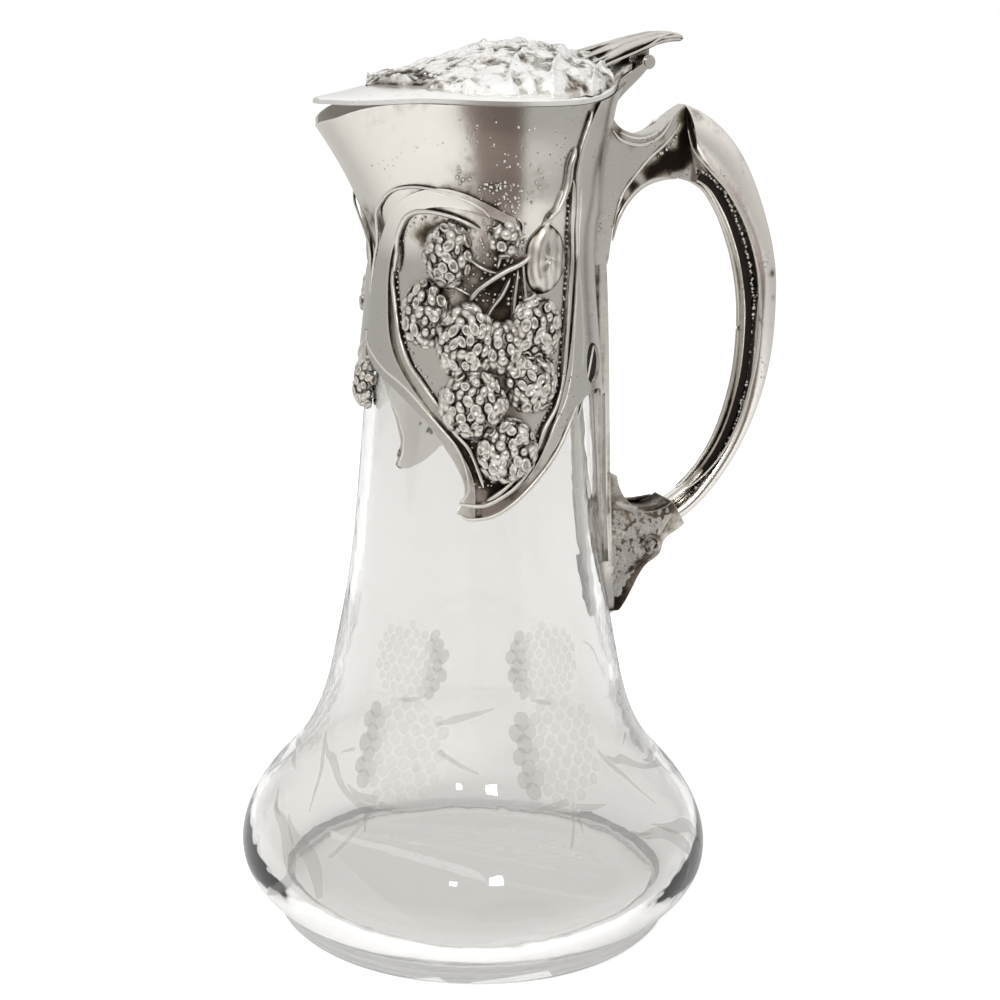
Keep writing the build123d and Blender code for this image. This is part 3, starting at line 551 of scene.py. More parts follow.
def spots_at(*marks):
    """Spots given as (place, radius, strength), in millimetres."""
    return [(np.array(place) * MM, radius * MM, strength) for place, radius, strength in marks]


def spots_on_collar(*marks):
    """Spots given as (angle, height, radius in mm, strength) on the collar's skin."""
    return [(collar(angle, height) * MM, radius * MM, strength) for angle, height, radius, strength in marks]


collar_silver = plated_silver("collar_silver", spots_on_collar(
    (76, 206, 17, 0.55), (82, 212, 12, 0.5), (86, 200, 10, 0.3), (90, 190, 9, 0.3),
    (74, 156, 12, 0.9), (82, 151, 10, 0.9), (64, 164, 7, 0.5), (90, 158, 8, 0.7),
    (50, 225, 8, 0.6), (40, 224, 7, 0.6), (60, 224, 7, 0.5), (70, 243, 12, 0.35), (78, 236, 12, 0.4),
    (100, 240, 10, 0.3), (2, 226, 12, 0.7), (14, 226, 7, 0.4), (104, 186, 6, 0.5), (110, 200, 6, 0.3),
    (112, 216, 6, 0.3),
), patina=0.7, bedded=True)
berry_silver = plated_silver("berry_silver", polish=0.26, grain_size=0.2)
silver = plated_silver("plated_silver")
glass = clear_glass()
# The plaster bed: pale matt plaster with a painted glow, which stands in for the light reaching it through
# the glass.
plaster, g = blank_finish("setting_plaster_painted_glow")
g.surface(g.add("ShaderNodeBsdfPrincipled", None, Base_Color=rgb(226, 222, 214), Roughness=0.9,
                Emission_Color=BED_PAINTED_GLOW_COLOUR, Emission_Strength=BED_PAINTED_GLOW))


def dress(name, material):
    """Gives a CAD node its finish."""
    data = nodes[name].data
    data.materials.clear()
    data.materials.append(material)


# ---------------------------------------------------------------- the heart panels
ROUND_BEAD = half_round(1.5, 1.0)
THIN_LIP = half_round(0.9, 0.7)
band_outer = [(1.5, 203.5), (1.6, 209.0), (4.8, 216.0), (11.5, 222.6), (18.4, 228.6), (27.3, 233.0),
              (36.4, 236.4), (46.0, 237.7), (54.7, 237.2), (64.0, 235.1), (72.3, 231.9), (74.9, 229.6)]
band_inner = [(22.8, 212.1), (24.9, 217.7), (27.2, 222.0), (34.2, 226.9), (39.7, 229.5), (45.7, 230.7),
              (52.4, 230.6), (59.9, 229.4), (66.1, 227.5), (70.4, 225.9)]
inner_bead = [(21.1, 213.4), (21.7, 208.6), (24.6, 202.0), (28.0, 195.4), (30.9, 190.8), (36.2, 185.1),
              (42.7, 180.7), (48.6, 176.3), (54.2, 172.5), (58.6, 167.2), (65.7, 161.9), (69.8, 155.8),
              (72.3, 150.4)]
border_rim = [(1.6, 189.7), (12.2, 185.8), (22.1, 182.5), (31.4, 179.9), (39.4, 176.4), (46.7, 172.1),
              (53.4, 167.7), (59.7, 163.1), (63.9, 157.8), (66.0, 152.4), (65.6, 148.2), (62.3, 145.4)]
tip_top = [(62.3, 145.2), (71.9, 144.8), (79.6, 147.2), (86.5, 150.8), (95.1, 158.0)]
tip_low = [(61.3, 142.4), (66.2, 140.8), (73.9, 141.2), (79.8, 142.9), (85.8, 145.8), (92.1, 149.7),
           (100.2, 155.4), (108.0, 161.8), (114.0, 168.2), (119.2, 172.7)]
right_inner = [(116.2, 239.9), (118.5, 226.4), (120.2, 216.1), (118.3, 205.9), (114.3, 192.5),
               (111.3, 182.4), (106.6, 173.8), (100.1, 167.3), (95.4, 160.7), (86.7, 153.5), (79.7, 148.9),
               (73.8, 146.2)]
right_outer = [(angle + 5.5, height + 1.0) for angle, height in right_inner[:9]]


UP = np.array([0.0, 0.0, 1.0])
SIDEWAYS = [0.0, -1.0, 0.0]


def beads_on_collar(path, sizes, lift):
    """Round beads that stand square on the collar at (angle, height) places."""
    at = collar(path[:, 0], path[:, 1], lift)
    outward = collar(path[:, 0], path[:, 1], lift + 1) - at
    return domes(at, outward, UP, sizes, PEARL, segments=8)


def pearls(stops, spacing, radius, lift, jitter=0.0, seed=1):
    """A row of small round beads along a path on the collar."""
    run = smooth_path(stops, 200)
    sideways, per_degree = chart(run)
    length = np.linalg.norm(np.diff(run, axis=0) * [per_degree.mean(), 1], axis=1).sum()
    path = smooth_path(stops, max(2, int(length / spacing)))
    luck = np.random.default_rng(seed)
    path = path + luck.normal(0, jitter, path.shape) * [1 / per_degree.mean(), 1]
    return beads_on_collar(path, radius * luck.uniform(0.8, 1.15, (len(path), 1)) * np.ones(3), lift)


def scatter(area, count, radius, lift, seed):
    """Small beads strewn over a box of angles and heights."""
    luck = np.random.default_rng(seed)
    low, high = np.array(area)
    path = luck.uniform(low, high, (count, 2))
    return beads_on_collar(path, radius * luck.uniform(0.55, 1.2, (count, 1)) * np.ones(3), lift)


def leaf(edge, rise, ribs, lift):
    """A domed leaf on the collar, its edge in (angle, height). Its height falls by a power from the middle to
    the edge, and curved ribs are a cosine across it."""
    rim = smooth_path(edge, 48, closed=True)
    middle = rim.mean(0)
    share = np.linspace(0, 1, 26)[:, None]
    place = middle + (rim[None] - middle) * share[..., None]
    turn = np.linspace(0, 2 * np.pi, 48)[None, :]
    sweep = place[..., 0] - middle[0] - 0.035 * (place[..., 1] - middle[1]) ** 2
    ridge = 0.5 + 0.5 * np.cos(2 * np.pi * (ribs * sweep / np.ptp(rim[:, 0]) + 0.25 * np.sin(turn)))
    fade = np.minimum(1, 5 * (1 - share))
    up = rise * (1 - share**2.4) + (0.35 * ridge + 0.12 * np.cos(5 * turn)) * fade
    up = up - 1.0 * (share > 0.985)
    stain = np.clip(0.32 - 0.45 * ridge + 1.2 * share**10, 0, 1)
    return patch(collar(place[..., 0], place[..., 1], lift + up), stain)


VINE = half_round(2.2, 1.9, 0.1)
TWIG = half_round(1.3, 1.3, 0.1)
vines = [
    (VINE, [(64.3, 203.7), (67.5, 207.6), (72.9, 210.4), (81.7, 213.8), (90.7, 216.4), (96.4, 219.6)]),
    (TWIG, [(54.0, 224.0), (60.0, 219.5), (66.2, 216.4), (72.0, 214.4), (78.4, 213.1)]),
    (TWIG, [(78.1, 214.5), (80.0, 218.5), (85.7, 221.8), (89.8, 226.5), (87.4, 229.5)]),
    (VINE, [(101.5, 225.6), (104.0, 229.0), (108.7, 232.1), (113.4, 238.7), (114.0, 244.3), (116.5, 249.6)]),
    (TWIG, [(100.5, 227.0), (105.9, 230.0), (110.8, 237.2)]),
    (TWIG, [(90.7, 216.4), (92.5, 206.0), (96.0, 202.0)]),
    (TWIG, [(44.0, 208.0), (50.0, 211.0), (58.0, 209.0), (66.0, 206.5)]),
    (TWIG, [(72.0, 199.0), (75.5, 203.0), (80.5, 207.0), (84.5, 212.0)]),
    (TWIG, [(88.0, 187.0), (86.0, 195.0), (86.5, 205.0), (88.5, 214.5)]),
    (TWIG, [(75.0, 168.0), (79.0, 176.0), (85.0, 181.0), (87.5, 188.0)]),
]
# Each berry: angle, height, half width, half height, how far it stands out
berries = [
    (53.7, 218.3, 6.1, 8.4, 4.2),
    (42.6, 200.5, 6.4, 9.0, 3.8),
    (63.5, 192.9, 7.5, 10.4, 5.4),
    (96.9, 196.6, 6.8, 9.0, 5.0),
    (80.1, 191.7, 5.6, 6.9, 3.6),
    (93.4, 180.9, 7.0, 7.8, 5.0),
    (67.3, 175.1, 8.6, 9.2, 5.6),
    (82.7, 161.1, 7.8, 8.6, 5.4),
    (81.2, 223.4, 3.6, 4.2, 2.6),
]
leaf_edge = [(101.5, 227.6), (93.6, 223.1), (91.8, 217.7), (92.7, 210.9), (98.1, 206.8), (107.5, 207.8),
             (116.1, 214.2), (113.7, 222.5), (106.9, 226.8)]


def frame_mouldings():
    """The rolled, beaded and lipped edges of the heart's frame."""
    return [
        moulding(band_outer, THIN_LIP, PANEL_RISE - 0.1, ends=0.05),
        moulding(band_inner, ROUND_BEAD, PANEL_RISE - 0.1, ends=0.08),
        moulding(inner_bead, ROUND_BEAD, PANEL_RISE * 0.6, ends=0.05),
        moulding(border_rim, THIN_LIP, PANEL_RISE - 0.1, ends=0.05),
        moulding(tip_top, ROUND_BEAD, PANEL_RISE, ends=0.1),
        moulding(tip_low, ROUND_BEAD, PANEL_RISE, width=(0.8, 1.2, 0.8), ends=0.08),
        moulding(right_inner, ROUND_BEAD, PANEL_RISE - 0.2, ends=0.03),
        moulding(right_outer, THIN_LIP, PANEL_RISE - 0.2, ends=0.05),
        pearls([(a + 1.2, h + 1.5) for a, h in inner_bead[1:]], 1.9, 0.4, 0.2, jitter=0.45),
        pearls([(a - 2.2, h) for a, h in right_inner[:9]], 1.7, 0.42, 0.2, jitter=0.45, seed=2),
        pearls([(a, h - 2.0) for a, h in band_inner], 1.8, 0.36, 0.1, jitter=0.4, seed=3),
    ]


def foliage():
    """Berries, leaves, stems and seeds inside the heart."""
    parts = [moulding(stops, profile, 0.1, width=(1.0, 0.9, 1.05, 0.8), count=40, ends=0.1)
             for profile, stops in vines]
    for number, (angle, height, wide, tall, deep) in enumerate(berries):
        parts += berry_on_collar(angle, height, (wide, tall, deep), number)
    parts.append(leaf(leaf_edge, 2.6, 5.0, 0.5))
    for number, (area, count, radius) in enumerate((
        ([(68, 244), (96, 257)], 16, 0.4), ([(82, 232), (100, 246)], 16, 0.4),
        ([(72, 226), (88, 240)], 90, 0.45), ([(64, 238), (70, 244)], 8, 0.5),
        ([(62, 204), (92, 228)], 110, 0.5), ([(84, 196), (108, 206)], 40, 0.45),
        ([(70, 182), (92, 200)], 60, 0.5), ([(66, 148), (90, 160)], 40, 0.45),
        ([(98, 172), (110, 192)], 60, 0.4), ([(40, 206), (62, 214)], 24, 0.4),
    )):
        parts.append(scatter(area, count, radius, 0.1, number + 5))
    return parts


frame_parts = frame_mouldings()
sprig_parts = foliage()
build("frame_mouldings_left", frame_parts, berry_silver)
build("frame_mouldings_right", [mirrored(part) for part in frame_parts], berry_silver)
build("bramble_left", sprig_parts, berry_silver, stands_for=["bramble_sprig_left"])
build("bramble_right", [mirrored(part) for part in sprig_parts], berry_silver,
      stands_for=["bramble_sprig_right"])


# ---------------------------------------------------------------- tubes and the lid's foliage
def tube(stops, radii, count, sides, stain):
    """A round strand along points in space, its radius varying along it, closed at both ends."""
    path = smooth_path(stops, count)
    ahead = np.gradient(path, axis=0)
    ahead /= np.linalg.norm(ahead, axis=1, keepdims=True)
    side = np.cross(ahead, [0.0, 0.0, 1.0]) + 1e-9
    side /= np.linalg.norm(side, axis=1, keepdims=True)
    over = np.cross(side, ahead)
    radius = np.interp(np.linspace(0, 1, count), np.linspace(0, 1, len(radii)), radii)
    radius[[0, -1]] = 0.0
    turn = np.linspace(0, 2 * np.pi, sides, endpoint=False)[None, :, None]
    ring = np.cos(turn) * over[:, None] + np.sin(turn) * side[:, None]
    return patch(path[:, None] + radius[:, None, None] * ring, stain, wrap=True)


def outline_along(name, half_width, low, high):
    """Half widths and top heights of a node at places along the jug, taken from its corners."""
    data = nodes[name].data
    corner = np.empty(3 * len(data.vertices))
    data.vertices.foreach_get("co", corner)
    x, y, z = corner.reshape(-1, 3).T / MM
    places = np.arange(low, high, 2.0)
    near = np.abs(x[None] - places[:, None]) < 2.2
    wide = np.where(near, np.abs(y)[None], 0).max(1)
    top = np.where(near & (np.abs(y)[None] < half_width), z[None], 0).max(1)
    return places, wide, top


lid_places, lid_wide, lid_tops = outline_along("lid", 3.0, -52.0, 47.0)


def lid_top(x, share):
    """The lid's crowned skin at a place along the jug and a share of its half width."""
    wide, top = np.interp(x, lid_places, lid_wide), np.interp(x, lid_places, lid_tops)
    fall = np.interp(np.abs(share), (0, 0.24, 0.48, 0.66, 0.84, 0.93, 1.0),
                     (1, 0.96, 0.81, 0.62, 0.38, 0.21, 0.0))
    foot = np.interp(x, (-52, -20, 12, 24, 35, 45.8), (262.0, 262.0, 262.3, 263.5, 266.7, 272.6))
    return np.stack(np.broadcast_arrays(x, share * wide, foot + (top - foot) * fall), -1)


def waves(u, v, bends):
    """A crumpled field: a sum of sine waves, each with its phase bent by another sine. Each bend is (turns
    along u, turns along v, phase, size)."""
    field = np.zeros(np.broadcast(u, v).shape)
    for k_u, k_v, phase, size in bends:
        bent = 1.3 * np.sin(0.7 * k_v * u - 0.6 * k_u * v + phase)
        field = field + size * np.sin(k_u * u + k_v * v + phase + bent)
    return field


CRUMPLE = [(0.42, 0.25, 0.3, 0.42), (0.28, -0.5, 1.9, 0.36), (0.8, 0.55, 0.7, 0.26), (-0.7, 0.95, 2.6, 0.24),
           (1.5, -1.1, 4.0, 0.15), (1.2, 1.7, 5.1, 0.13), (2.6, 2.1, 0.2, 0.07)]


def lid_leaf():
    """A veined, crumpled leaf over the lid's crown. Ribs spring from the midrib at an even spacing and stand
    up by a bell curve, crossing waves crumple it, its rim curls, and at the edge it sinks into the lid."""
    rib_gap = 13.0
    x = np.linspace(-37.0, 33.0, 200)[:, None]
    span = np.interp(x, (-37, -33, -26, -14, 3, 16, 24, 33),
                     (0.03, 0.5, 0.86, 0.96, 0.985, 0.985, 0.97, 0.95))
    across = np.linspace(-1, 1, 171)[None, :]
    scallop = 1 - 0.008 * (1 + np.sin(x * 0.45)) - 0.003 * (1 + np.sin(x * 1.3 + 1))
    share = across * span * scallop
    flat = lid_top(x, share)
    y = flat[..., 1]
    rib_phase = (x + 1.5 * np.abs(y) - 0.018 * y**2) / rib_gap
    rib = np.exp(-((rib_phase - np.round(rib_phase)) * rib_gap / 0.8) ** 2) * np.clip((x + 16) / 10, 0, 1)
    midrib = np.exp(-(y / 1.3) ** 2)
    rough = waves(x, y, CRUMPLE)
    edge = np.clip((1 - np.abs(across)) / 0.07, 0, 1) ** 0.7
    ends = np.clip((x + 37) / 4, 0, 1)
    roll_up = 0.6 + 0.9 * np.sin(x * 0.75 + 1.2 * np.sin(x * 0.31))
    curl = np.clip((np.abs(across) - 0.72) * 5, 0, 1) * roll_up
    crumpled = rough * np.interp(x, (-24, -12), (0.95, 0.6))
    lift = (1.0 + 1.25 * rib + 0.8 * midrib + crumpled + curl) * edge * ends
    lift = lift + 0.9 * np.exp(-(((x + 31) / 3.5) ** 2 + ((np.abs(y) - 8) / 4) ** 2)) * edge
    front_stain = 0.5 * np.exp(-(((x + 28) / 6) ** 2))
    stain = 0.24 - 0.5 * rough - 0.4 * rib - 0.3 * midrib - 0.2 * curl + 0.3 * (1 - edge) + front_stain
    stain = np.clip(stain, 0, 1)
    return patch(flat + np.stack([0 * lift, 0 * lift, lift - 0.5 * (1 - edge)], -1), stain)


HINGE_X, HINGE_HEIGHT, HINGE_RUN = 51.2, 273.7, 3.4
THUMB = np.array([(24, -5.6, 2.0, 17.0), (28, -3.6, 3.4, 13.6), (32, -1.4, 3.9, 11.6), (38, 0.9, 3.9, 10.4),
                  (45, 3.9, 3.1, 9.0), (51.2, 5.7, 2.8, 7.4), (57, 7.3, 2.1, 5.8), (62, 7.7, 1.5, 4.5),
                  (65.2, 7.5, 1.0, 2.6), (65.7, 7.5, 0.0, 0.0)])


def thumb_leaf():
    """The thumb-piece: ovals that climb back from the lid over the hinge. A cosine round each oval ridges it,
    and crossing waves knot it towards the tip."""
    stations = smooth_path(THUMB, 90)
    x, rise, thick, wide = (column[:, None] for column in stations.T)
    turn = np.linspace(0, 2 * np.pi, 72, endpoint=False)[None, :]
    run = np.linspace(0, 1, 90)[:, None]
    ridge = 0.5 + 0.5 * np.cos(8 * turn + 2.2 * np.sin(2.5 * run) + 0.4 * np.sin(3 * turn))
    knot = waves(x * 1.4, 4 * turn, CRUMPLE[:5]) * np.clip((run - 0.62) * 2.2, 0.05, 1)
    grow = 1 + 0.10 * (ridge - 0.5) + 0.16 * knot
    y = wide * grow * np.cos(turn)
    z = HINGE_HEIGHT + rise + thick * grow * np.sin(turn) + 0.25 * knot * (thick > 0.01)
    clear = HINGE_HEIGHT + np.sqrt(np.maximum(0, HINGE_RUN**2 - (x - HINGE_X) ** 2))
    z = np.where((np.abs(x - HINGE_X) < HINGE_RUN) & (z < clear), clear, z)
    points = np.stack(np.broadcast_arrays(x, y, z), -1)
    # On each oval's lower side the stain is raised by 0.4: painted shade under the thumb-piece.
    stain = np.clip(0.55 - 1.0 * ridge + 0.4 * (np.sin(turn) < -0.2) + 0.35 * (run > 0.9), 0, 1)
    return patch(points[::-1], np.broadcast_to(stain, points.shape[:-1])[::-1], wrap=True)


def lid_strands():
    """Strands that rise out of the leaf on both sides and run together into the thumb-piece."""
    parts = []
    for start, bend, join, radius in (
        ((4, -27.5, 264.5), (20, -23.5, 267.5), (36, -12.0, 273.0), 0.8),
        ((8, -22.0, 269.5), (22, -18.5, 271.0), (37, -9.8, 275.6), 0.6),
        ((12, -15.5, 273.2), (24, -13.0, 273.6), (38, -7.0, 277.3), 0.7),
        ((16, -3.0, 276.4), (27, -2.6, 275.6), (40, -1.6, 279.0), 0.7),
    ):
        side = start[1] / 30
        ahead = [(50, 8.6 * side, 280.7 - 3.2 * side**2), (58, 6.4 * side, 282.1), (64, 2.6 * side, 281.8)]
        radii = 0.2, 0.7 * radius, 0.7 * radius, 0.6 * radius, 0.5 * radius, 0.3
        parts.append(tube([start, bend, join, *ahead], radii, 70, 8, 0.05))
    return parts + [mirrored(part) for part in parts]


KNOB = [(0.0, 0.9, 0.0), (0.5, 0.75, 0.0), (0.85, 0.4, 0.15), (1.0, 0.0, 0.3), (1.0, -0.6, 0.3)]


def lid_knobs():
    """Small buds and knobs strewn over the leaf, thickest towards the spout."""
    luck = np.random.default_rng(31)
    x = np.concatenate([luck.uniform(-34, -16, 90), luck.uniform(-16, 28, 22)])
    spread = np.interp(x, (-34, -26, -14, 3, 28), (0.3, 0.66, 0.84, 0.92, 0.84))
    share = luck.uniform(-0.86, 0.86, x.size) * spread
    at = lid_top(x, share) + [0, 0, 0.7]
    outward = np.stack([0 * x, share * 0.9, np.ones_like(x)], -1)
    sizes = luck.uniform(0.3, 0.85, (x.size, 1)) * [1.3, 1.0, 0.7]
    return domes(at, outward, np.array([1.0, 0.0, 0.0]), sizes, KNOB, segments=8)


rough_silver = plated_silver("rough_silver", polish=0.05, grain_size=1.4, patina=0.8, depth=0.0007,
                             flecks=1.6, pale=(250, 249, 246))
lid_silver = plated_silver("lid_silver", patina=0.4, polish=0.26, pale=(250, 249, 246))
build("lid_leaf", [lid_leaf(), lid_knobs()], rough_silver, body="lid", stands_for=["lid_foliage"])
build("thumb_leaf", [thumb_leaf(), *lid_strands()], berry_silver, body="lid", stands_for=["thumb_piece"])

drop_place = collar(0.0, 177.0, 0.0) * [1, 0, 1] + [0.6, 0, 0]
drop_parts = berry(drop_place, (-1, 0, 0.1), (0, 0, 1), (4.2, 7.2, 3.4), 4, fruit=1.25, below=0.3)
drop_parts.append(moulding([(0.0, 183.0), (0.0, 187.0), (0.0, 193.0)], half_round(2.4, 2.0), 0.0, count=20))
build("drop_berry", drop_parts, berry_silver, stands_for=["front_berry"])


# ---------------------------------------------------------------- the handle's lines, beads and grain
def strand(stops, radius, stain=0.05):
    """A round strand along points in space, of one thickness but for its thin ends."""
    return tube(stops, (0.35 * radius, radius, radius, radius, 0.35 * radius), 90, 8, stain)


def both_sides(parts):
    """Patches together with their mirrored copies."""
    return [*parts, *(mirrored(part) for part in parts)]


def bead_row(stops, spacing, radius, seed):
    """Small beads along points in space, standing out sideways."""
    run = smooth_path(stops, 200)
    length = np.linalg.norm(np.diff(run, axis=0), axis=1).sum()
    at = smooth_path(stops, int(length / spacing))
    luck = np.random.default_rng(seed)
    at = at + luck.normal(0, 0.28, at.shape) * [1, 0.4, 1]
    sizes = radius * luck.uniform(0.6, 1.2, (len(at), 1)) * np.ones(3)
    return domes(at, np.broadcast_to(SIDEWAYS, at.shape), UP, sizes, PEARL, segments=8)


def aside(stops, away, forward, count=60):
    """A line beside points in space: away from the finger opening in the handle's plane, and forward out of
    it."""
    path = smooth_path(stops, count)
    ahead = np.gradient(path, axis=0)
    ahead /= np.linalg.norm(ahead, axis=1, keepdims=True)
    return path + np.cross(ahead, [0.0, 1.0, 0.0]) * away - [0.0, forward, 0.0]


def side_strip(stops, low, high, forward):
    """A flat strip beside points in space, between two distances away from them."""
    return patch(np.stack([aside(stops, away, forward, 90) for away in np.linspace(low, high, 5)], 1), 1.0)


sheath_line = [(67.5, -3.4, 253.8), (69.4, -4.6, 246.6), (75, -5.6, 240.4), (81.8, -6.1, 233.5),
               (88.4, -6.3, 223.2), (93.2, -6.4, 210), (95.0, -6.4, 198), (95.2, -6.4, 188),
               (94.6, -6.2, 178.5), (92.9, -6.0, 169), (90.5, -5.8, 160), (86.4, -5.4, 151),
               (82, -5.0, 144.5), (76.7, -4.4, 139.1), (71.5, -3.4, 135.2)]
rim_line = [(66.5, 0, 238.6), (71.5, 0, 236.6), (75.5, 0, 234.2), (79.2, 0, 229.6), (82.8, 0, 223.6),
            (86.6, 0, 214.5), (89.3, 0, 204.5), (90.7, 0, 194.6), (90.8, 0, 184), (90.0, 0, 174),
            (88.0, 0, 164.5), (85.2, 0, 156), (81.6, 0, 148.8), (77.5, 0, 142.8), (73.4, 0, 138.2),
            (70.2, 0, 135.2)]
notch_lip = [(39.2, -8.7, 253.4), (42.2, -8.2, 250.4), (46.1, -7.1, 249.0), (50.1, -6.4, 248.5),
             (53.5, -5.9, 249.2), (57.0, -5.5, 250.9), (59.9, -5.1, 254.0), (61.9, -4.6, 257.2)]
recess_line = [(65.0, -3.6, 255.4), (63.2, -4.2, 252.6), (58.7, -5.3, 248.3), (53.7, -5.9, 244.4),
               (48.8, -6.6, 239.3), (44.4, -7.6, 234.2), (41.8, -8.3, 228.1), (40.8, -8.5, 222.5)]
arch_rim = [(40.6, -8.3, 219.0), (42.4, -7.8, 225.5), (45.2, -7.1, 230.3), (49.4, -6.3, 234.4),
            (54.0, -5.6, 236.9), (59.1, -4.9, 238.0), (64.5, -3.4, 237.9)]
handle_parts = both_sides([
    strand(sheath_line, 0.6), bead_row(aside(rim_line[1:], 3.8, 3.3), 1.0, 0.62, 1),
    strand(notch_lip, 0.55), strand([(x, y + 0.1, z + 2.0) for x, y, z in notch_lip[1:-1]], 0.45),
    strand(recess_line, 0.45, 0.0), strand(arch_rim, 0.8, 0.0),
    bead_row([(63.4, -4.2, 251.5), (60.8, -4.9, 248.2), (56.4, -5.5, 245.2)], 0.7, 0.45, 4),
])


GRIT = [(0.0, 0.7, 0.2), (0.6, 0.5, 0.35), (1.0, -0.3, 0.7)]


def foot_grain():
    """Coarse beads over the handle's foot, and a curled knob at its front."""
    luck = np.random.default_rng(8)
    count = 420
    z = luck.uniform(101, 131, count)
    left = np.interp(z, (101, 110, 131), (48.0, 45.4, 43.0))
    right = np.interp(z, (101, 106, 112, 117, 124, 131), (49.6, 51.0, 54.6, 58.4, 60.5, 66.0))
    x = left + (right - left) * luck.uniform(0, 1, count)
    y = np.interp(z, (99, 105, 110, 115, 120, 131), (-2.2, -4.0, -5.5, -6.4, -7.0, -7.0))
    at = np.stack([x, y, z], -1)
    sizes = luck.uniform(0.3, 0.8, (count, 1)) * luck.uniform(0.6, 1.4, (count, 3))
    beads = domes(at, np.broadcast_to(SIDEWAYS, at.shape), UP, sizes, GRIT, segments=7)
    wind = np.linspace(0.3, 2.9 * np.pi, 16)
    reach = 0.5 + 0.33 * wind
    curl = np.stack([58.6 + reach * np.cos(wind), -6.9 - 0.05 * wind, 118.6 + reach * np.sin(wind)], -1)
    return [beads, tube(curl, (0.7, 0.9, 1.0, 0.6), 80, 8, 0.1)]


foot_parts = both_sides([
    *foot_grain(),
    strand([(45.5, -6.2, 134.0), (51, -6.6, 131.6), (58, -6.6, 130.9), (64, -5.6, 132.4)], 0.9),
    strand([(50.5, -5.6, 108.4), (53.8, -6.2, 112.2), (57.4, -6.6, 115.2), (60.6, -6.8, 119.8)], 0.9),
    strand([(61.0, -6.6, 122.0), (63.8, -6.2, 127.0), (69.6, -4.6, 131.4)], 1.0),
])
arm_silver = plated_silver("arm_silver", spots_at(
    ((60, -5, 243.2), 7.5, 1.3), ((66.5, -3, 244), 7.0, 1.4), ((54, -5.8, 240), 5.5, 1.1),
    ((66.5, -2.8, 250.5), 5.0, 1.2), ((48, -6.6, 236), 4.0, 0.9), ((44, -7.6, 231), 3.2, 0.7),
    ((42, -8.2, 224), 3.0, 0.5), ((42, -8, 252.5), 4.5, 0.7), ((47, -7, 247.5), 3.0, 0.4),
    ((58, -5.5, 251), 3.0, 0.4), ((41, -9, 260), 4.0, 0.6), ((39.5, -9, 214), 3.0, 0.5),
), patina=1.2, depth=0.00016)
handle_silver = plated_silver("handle_silver", spots_at(
    ((98.5, -5, 207), 3.5, 0.9), ((99.5, -4, 199), 3.5, 0.9), ((99, -4, 190), 3.0, 0.8),
    ((96.5, -4, 174), 3.0, 0.5), ((70, -4, 257), 6.0, 0.45), ((78, -5, 254), 8.0, 0.35),
    ((88, -5, 244), 6.0, 0.25), ((80, -3, 143), 7.0, 0.5), ((73, -3, 140), 8.0, 0.7),
), patina=0.7, depth=0.00013, pale=(236, 232, 225))
foot_silver = plated_silver("foot_silver", spots_at(
    ((53, -6, 126), 26.0, 0.66), ((50, -5, 108), 18.0, 0.55), ((64, -6, 130), 12.0, 0.4),
    ((46, -3, 98), 14.0, 1.0), ((70, -3, 135), 9.0, 0.8),
), patina=0.95, grain_size=0.8, depth=0.0003)
strap_silver = plated_silver("strap_silver", patina=1.2, streak=1.6, polish=0.24)
build("handle_lines", [*handle_parts, tube(rim_line, (0.5, 0.95, 0.95, 0.95, 0.5), 120, 10, 0.0)],
      berry_silver)
# Flat black, used for a groove strip beside the handle's rim and for painted shade in the collar's window.
black, g = blank_finish("black_groove_and_painted_shade")
g.surface(g.add("ShaderNodeBsdfPrincipled", None, Base_Color=rgb(26, 21, 18), Roughness=0.75,
                Specular_IOR_Level=0.2))
# The collar's window: a black sheet just over it is painted shade, for the dark seen through the opening.
window = smooth_path([(133.0, 193.0), (126, 190.5), (121.8, 186), (122.5, 180.5), (129, 176.8), (138, 178.6),
                      (144.5, 181), (148, 184.5), (144, 188.5), (139, 191.5)], 60, closed=True)
window_hub = window.mean(axis=0)
window_fill = window_hub + (window - window_hub)[:, None] * np.linspace(1, 0.02, 8)[None, :, None]
painted_window_shade_parts = [patch(collar(window_fill[..., 0], window_fill[..., 1], 0.3).swapaxes(0, 1), 1.0, wrap=True)]
build("dark_groove_and_painted_window_shade", both_sides([side_strip(rim_line[1:-2], 0.9, 3.2, 2.75), *painted_window_shade_parts]), black)
build("foot_grain", foot_parts, foot_silver)

PETAL_GROOVE = [(-0.6, 0.06, 1.0), (0.0, 0.08, 1.0), (0.6, 0.06, 1.0)]
SEAM_GROOVE = [(-0.5, 0.06, 1.0), (0.0, 0.1, 1.0), (0.5, 0.06, 1.0)]
petal_edge = [(124.3, 259.8), (123.6, 257), (121.5, 252.3), (119.7, 247.1), (119.3, 241.3), (120.3, 233.9),
              (123.4, 224.1), (126.4, 214.0), (128.4, 203.0), (128.0, 192.0), (124.4, 182.0)]
strap_seam = [(132.4, 260.2), (131.6, 257.6), (131.2, 254), (133.6, 248.3), (138.3, 240.8), (143.5, 233),
              (147.6, 226.2), (150.6, 217.7), (151.2, 208.0), (150.6, 198.0), (150.0, 190.0)]
lower_petal = [(151.0, 186.0), (146.0, 190.0), (140.7, 187.5), (133.0, 181.0), (126.4, 174.2),
               (121.6, 168.6)]
petal_parts = [
    moulding(petal_edge, half_round(1.5, 1.1), 0.4, ends=0.05),
    moulding([(a + 2.0, h) for a, h in petal_edge], PETAL_GROOVE, 0.0, ends=0.05),
    moulding(strap_seam, THIN_LIP, 0.2, ends=0.05),
    moulding([(a + 2.2, h) for a, h in strap_seam], SEAM_GROOVE, 0.0, ends=0.05),
    moulding(lower_petal, THIN_LIP, 0.2, ends=0.08),
]
build("petals", both_sides(petal_parts), berry_silver)


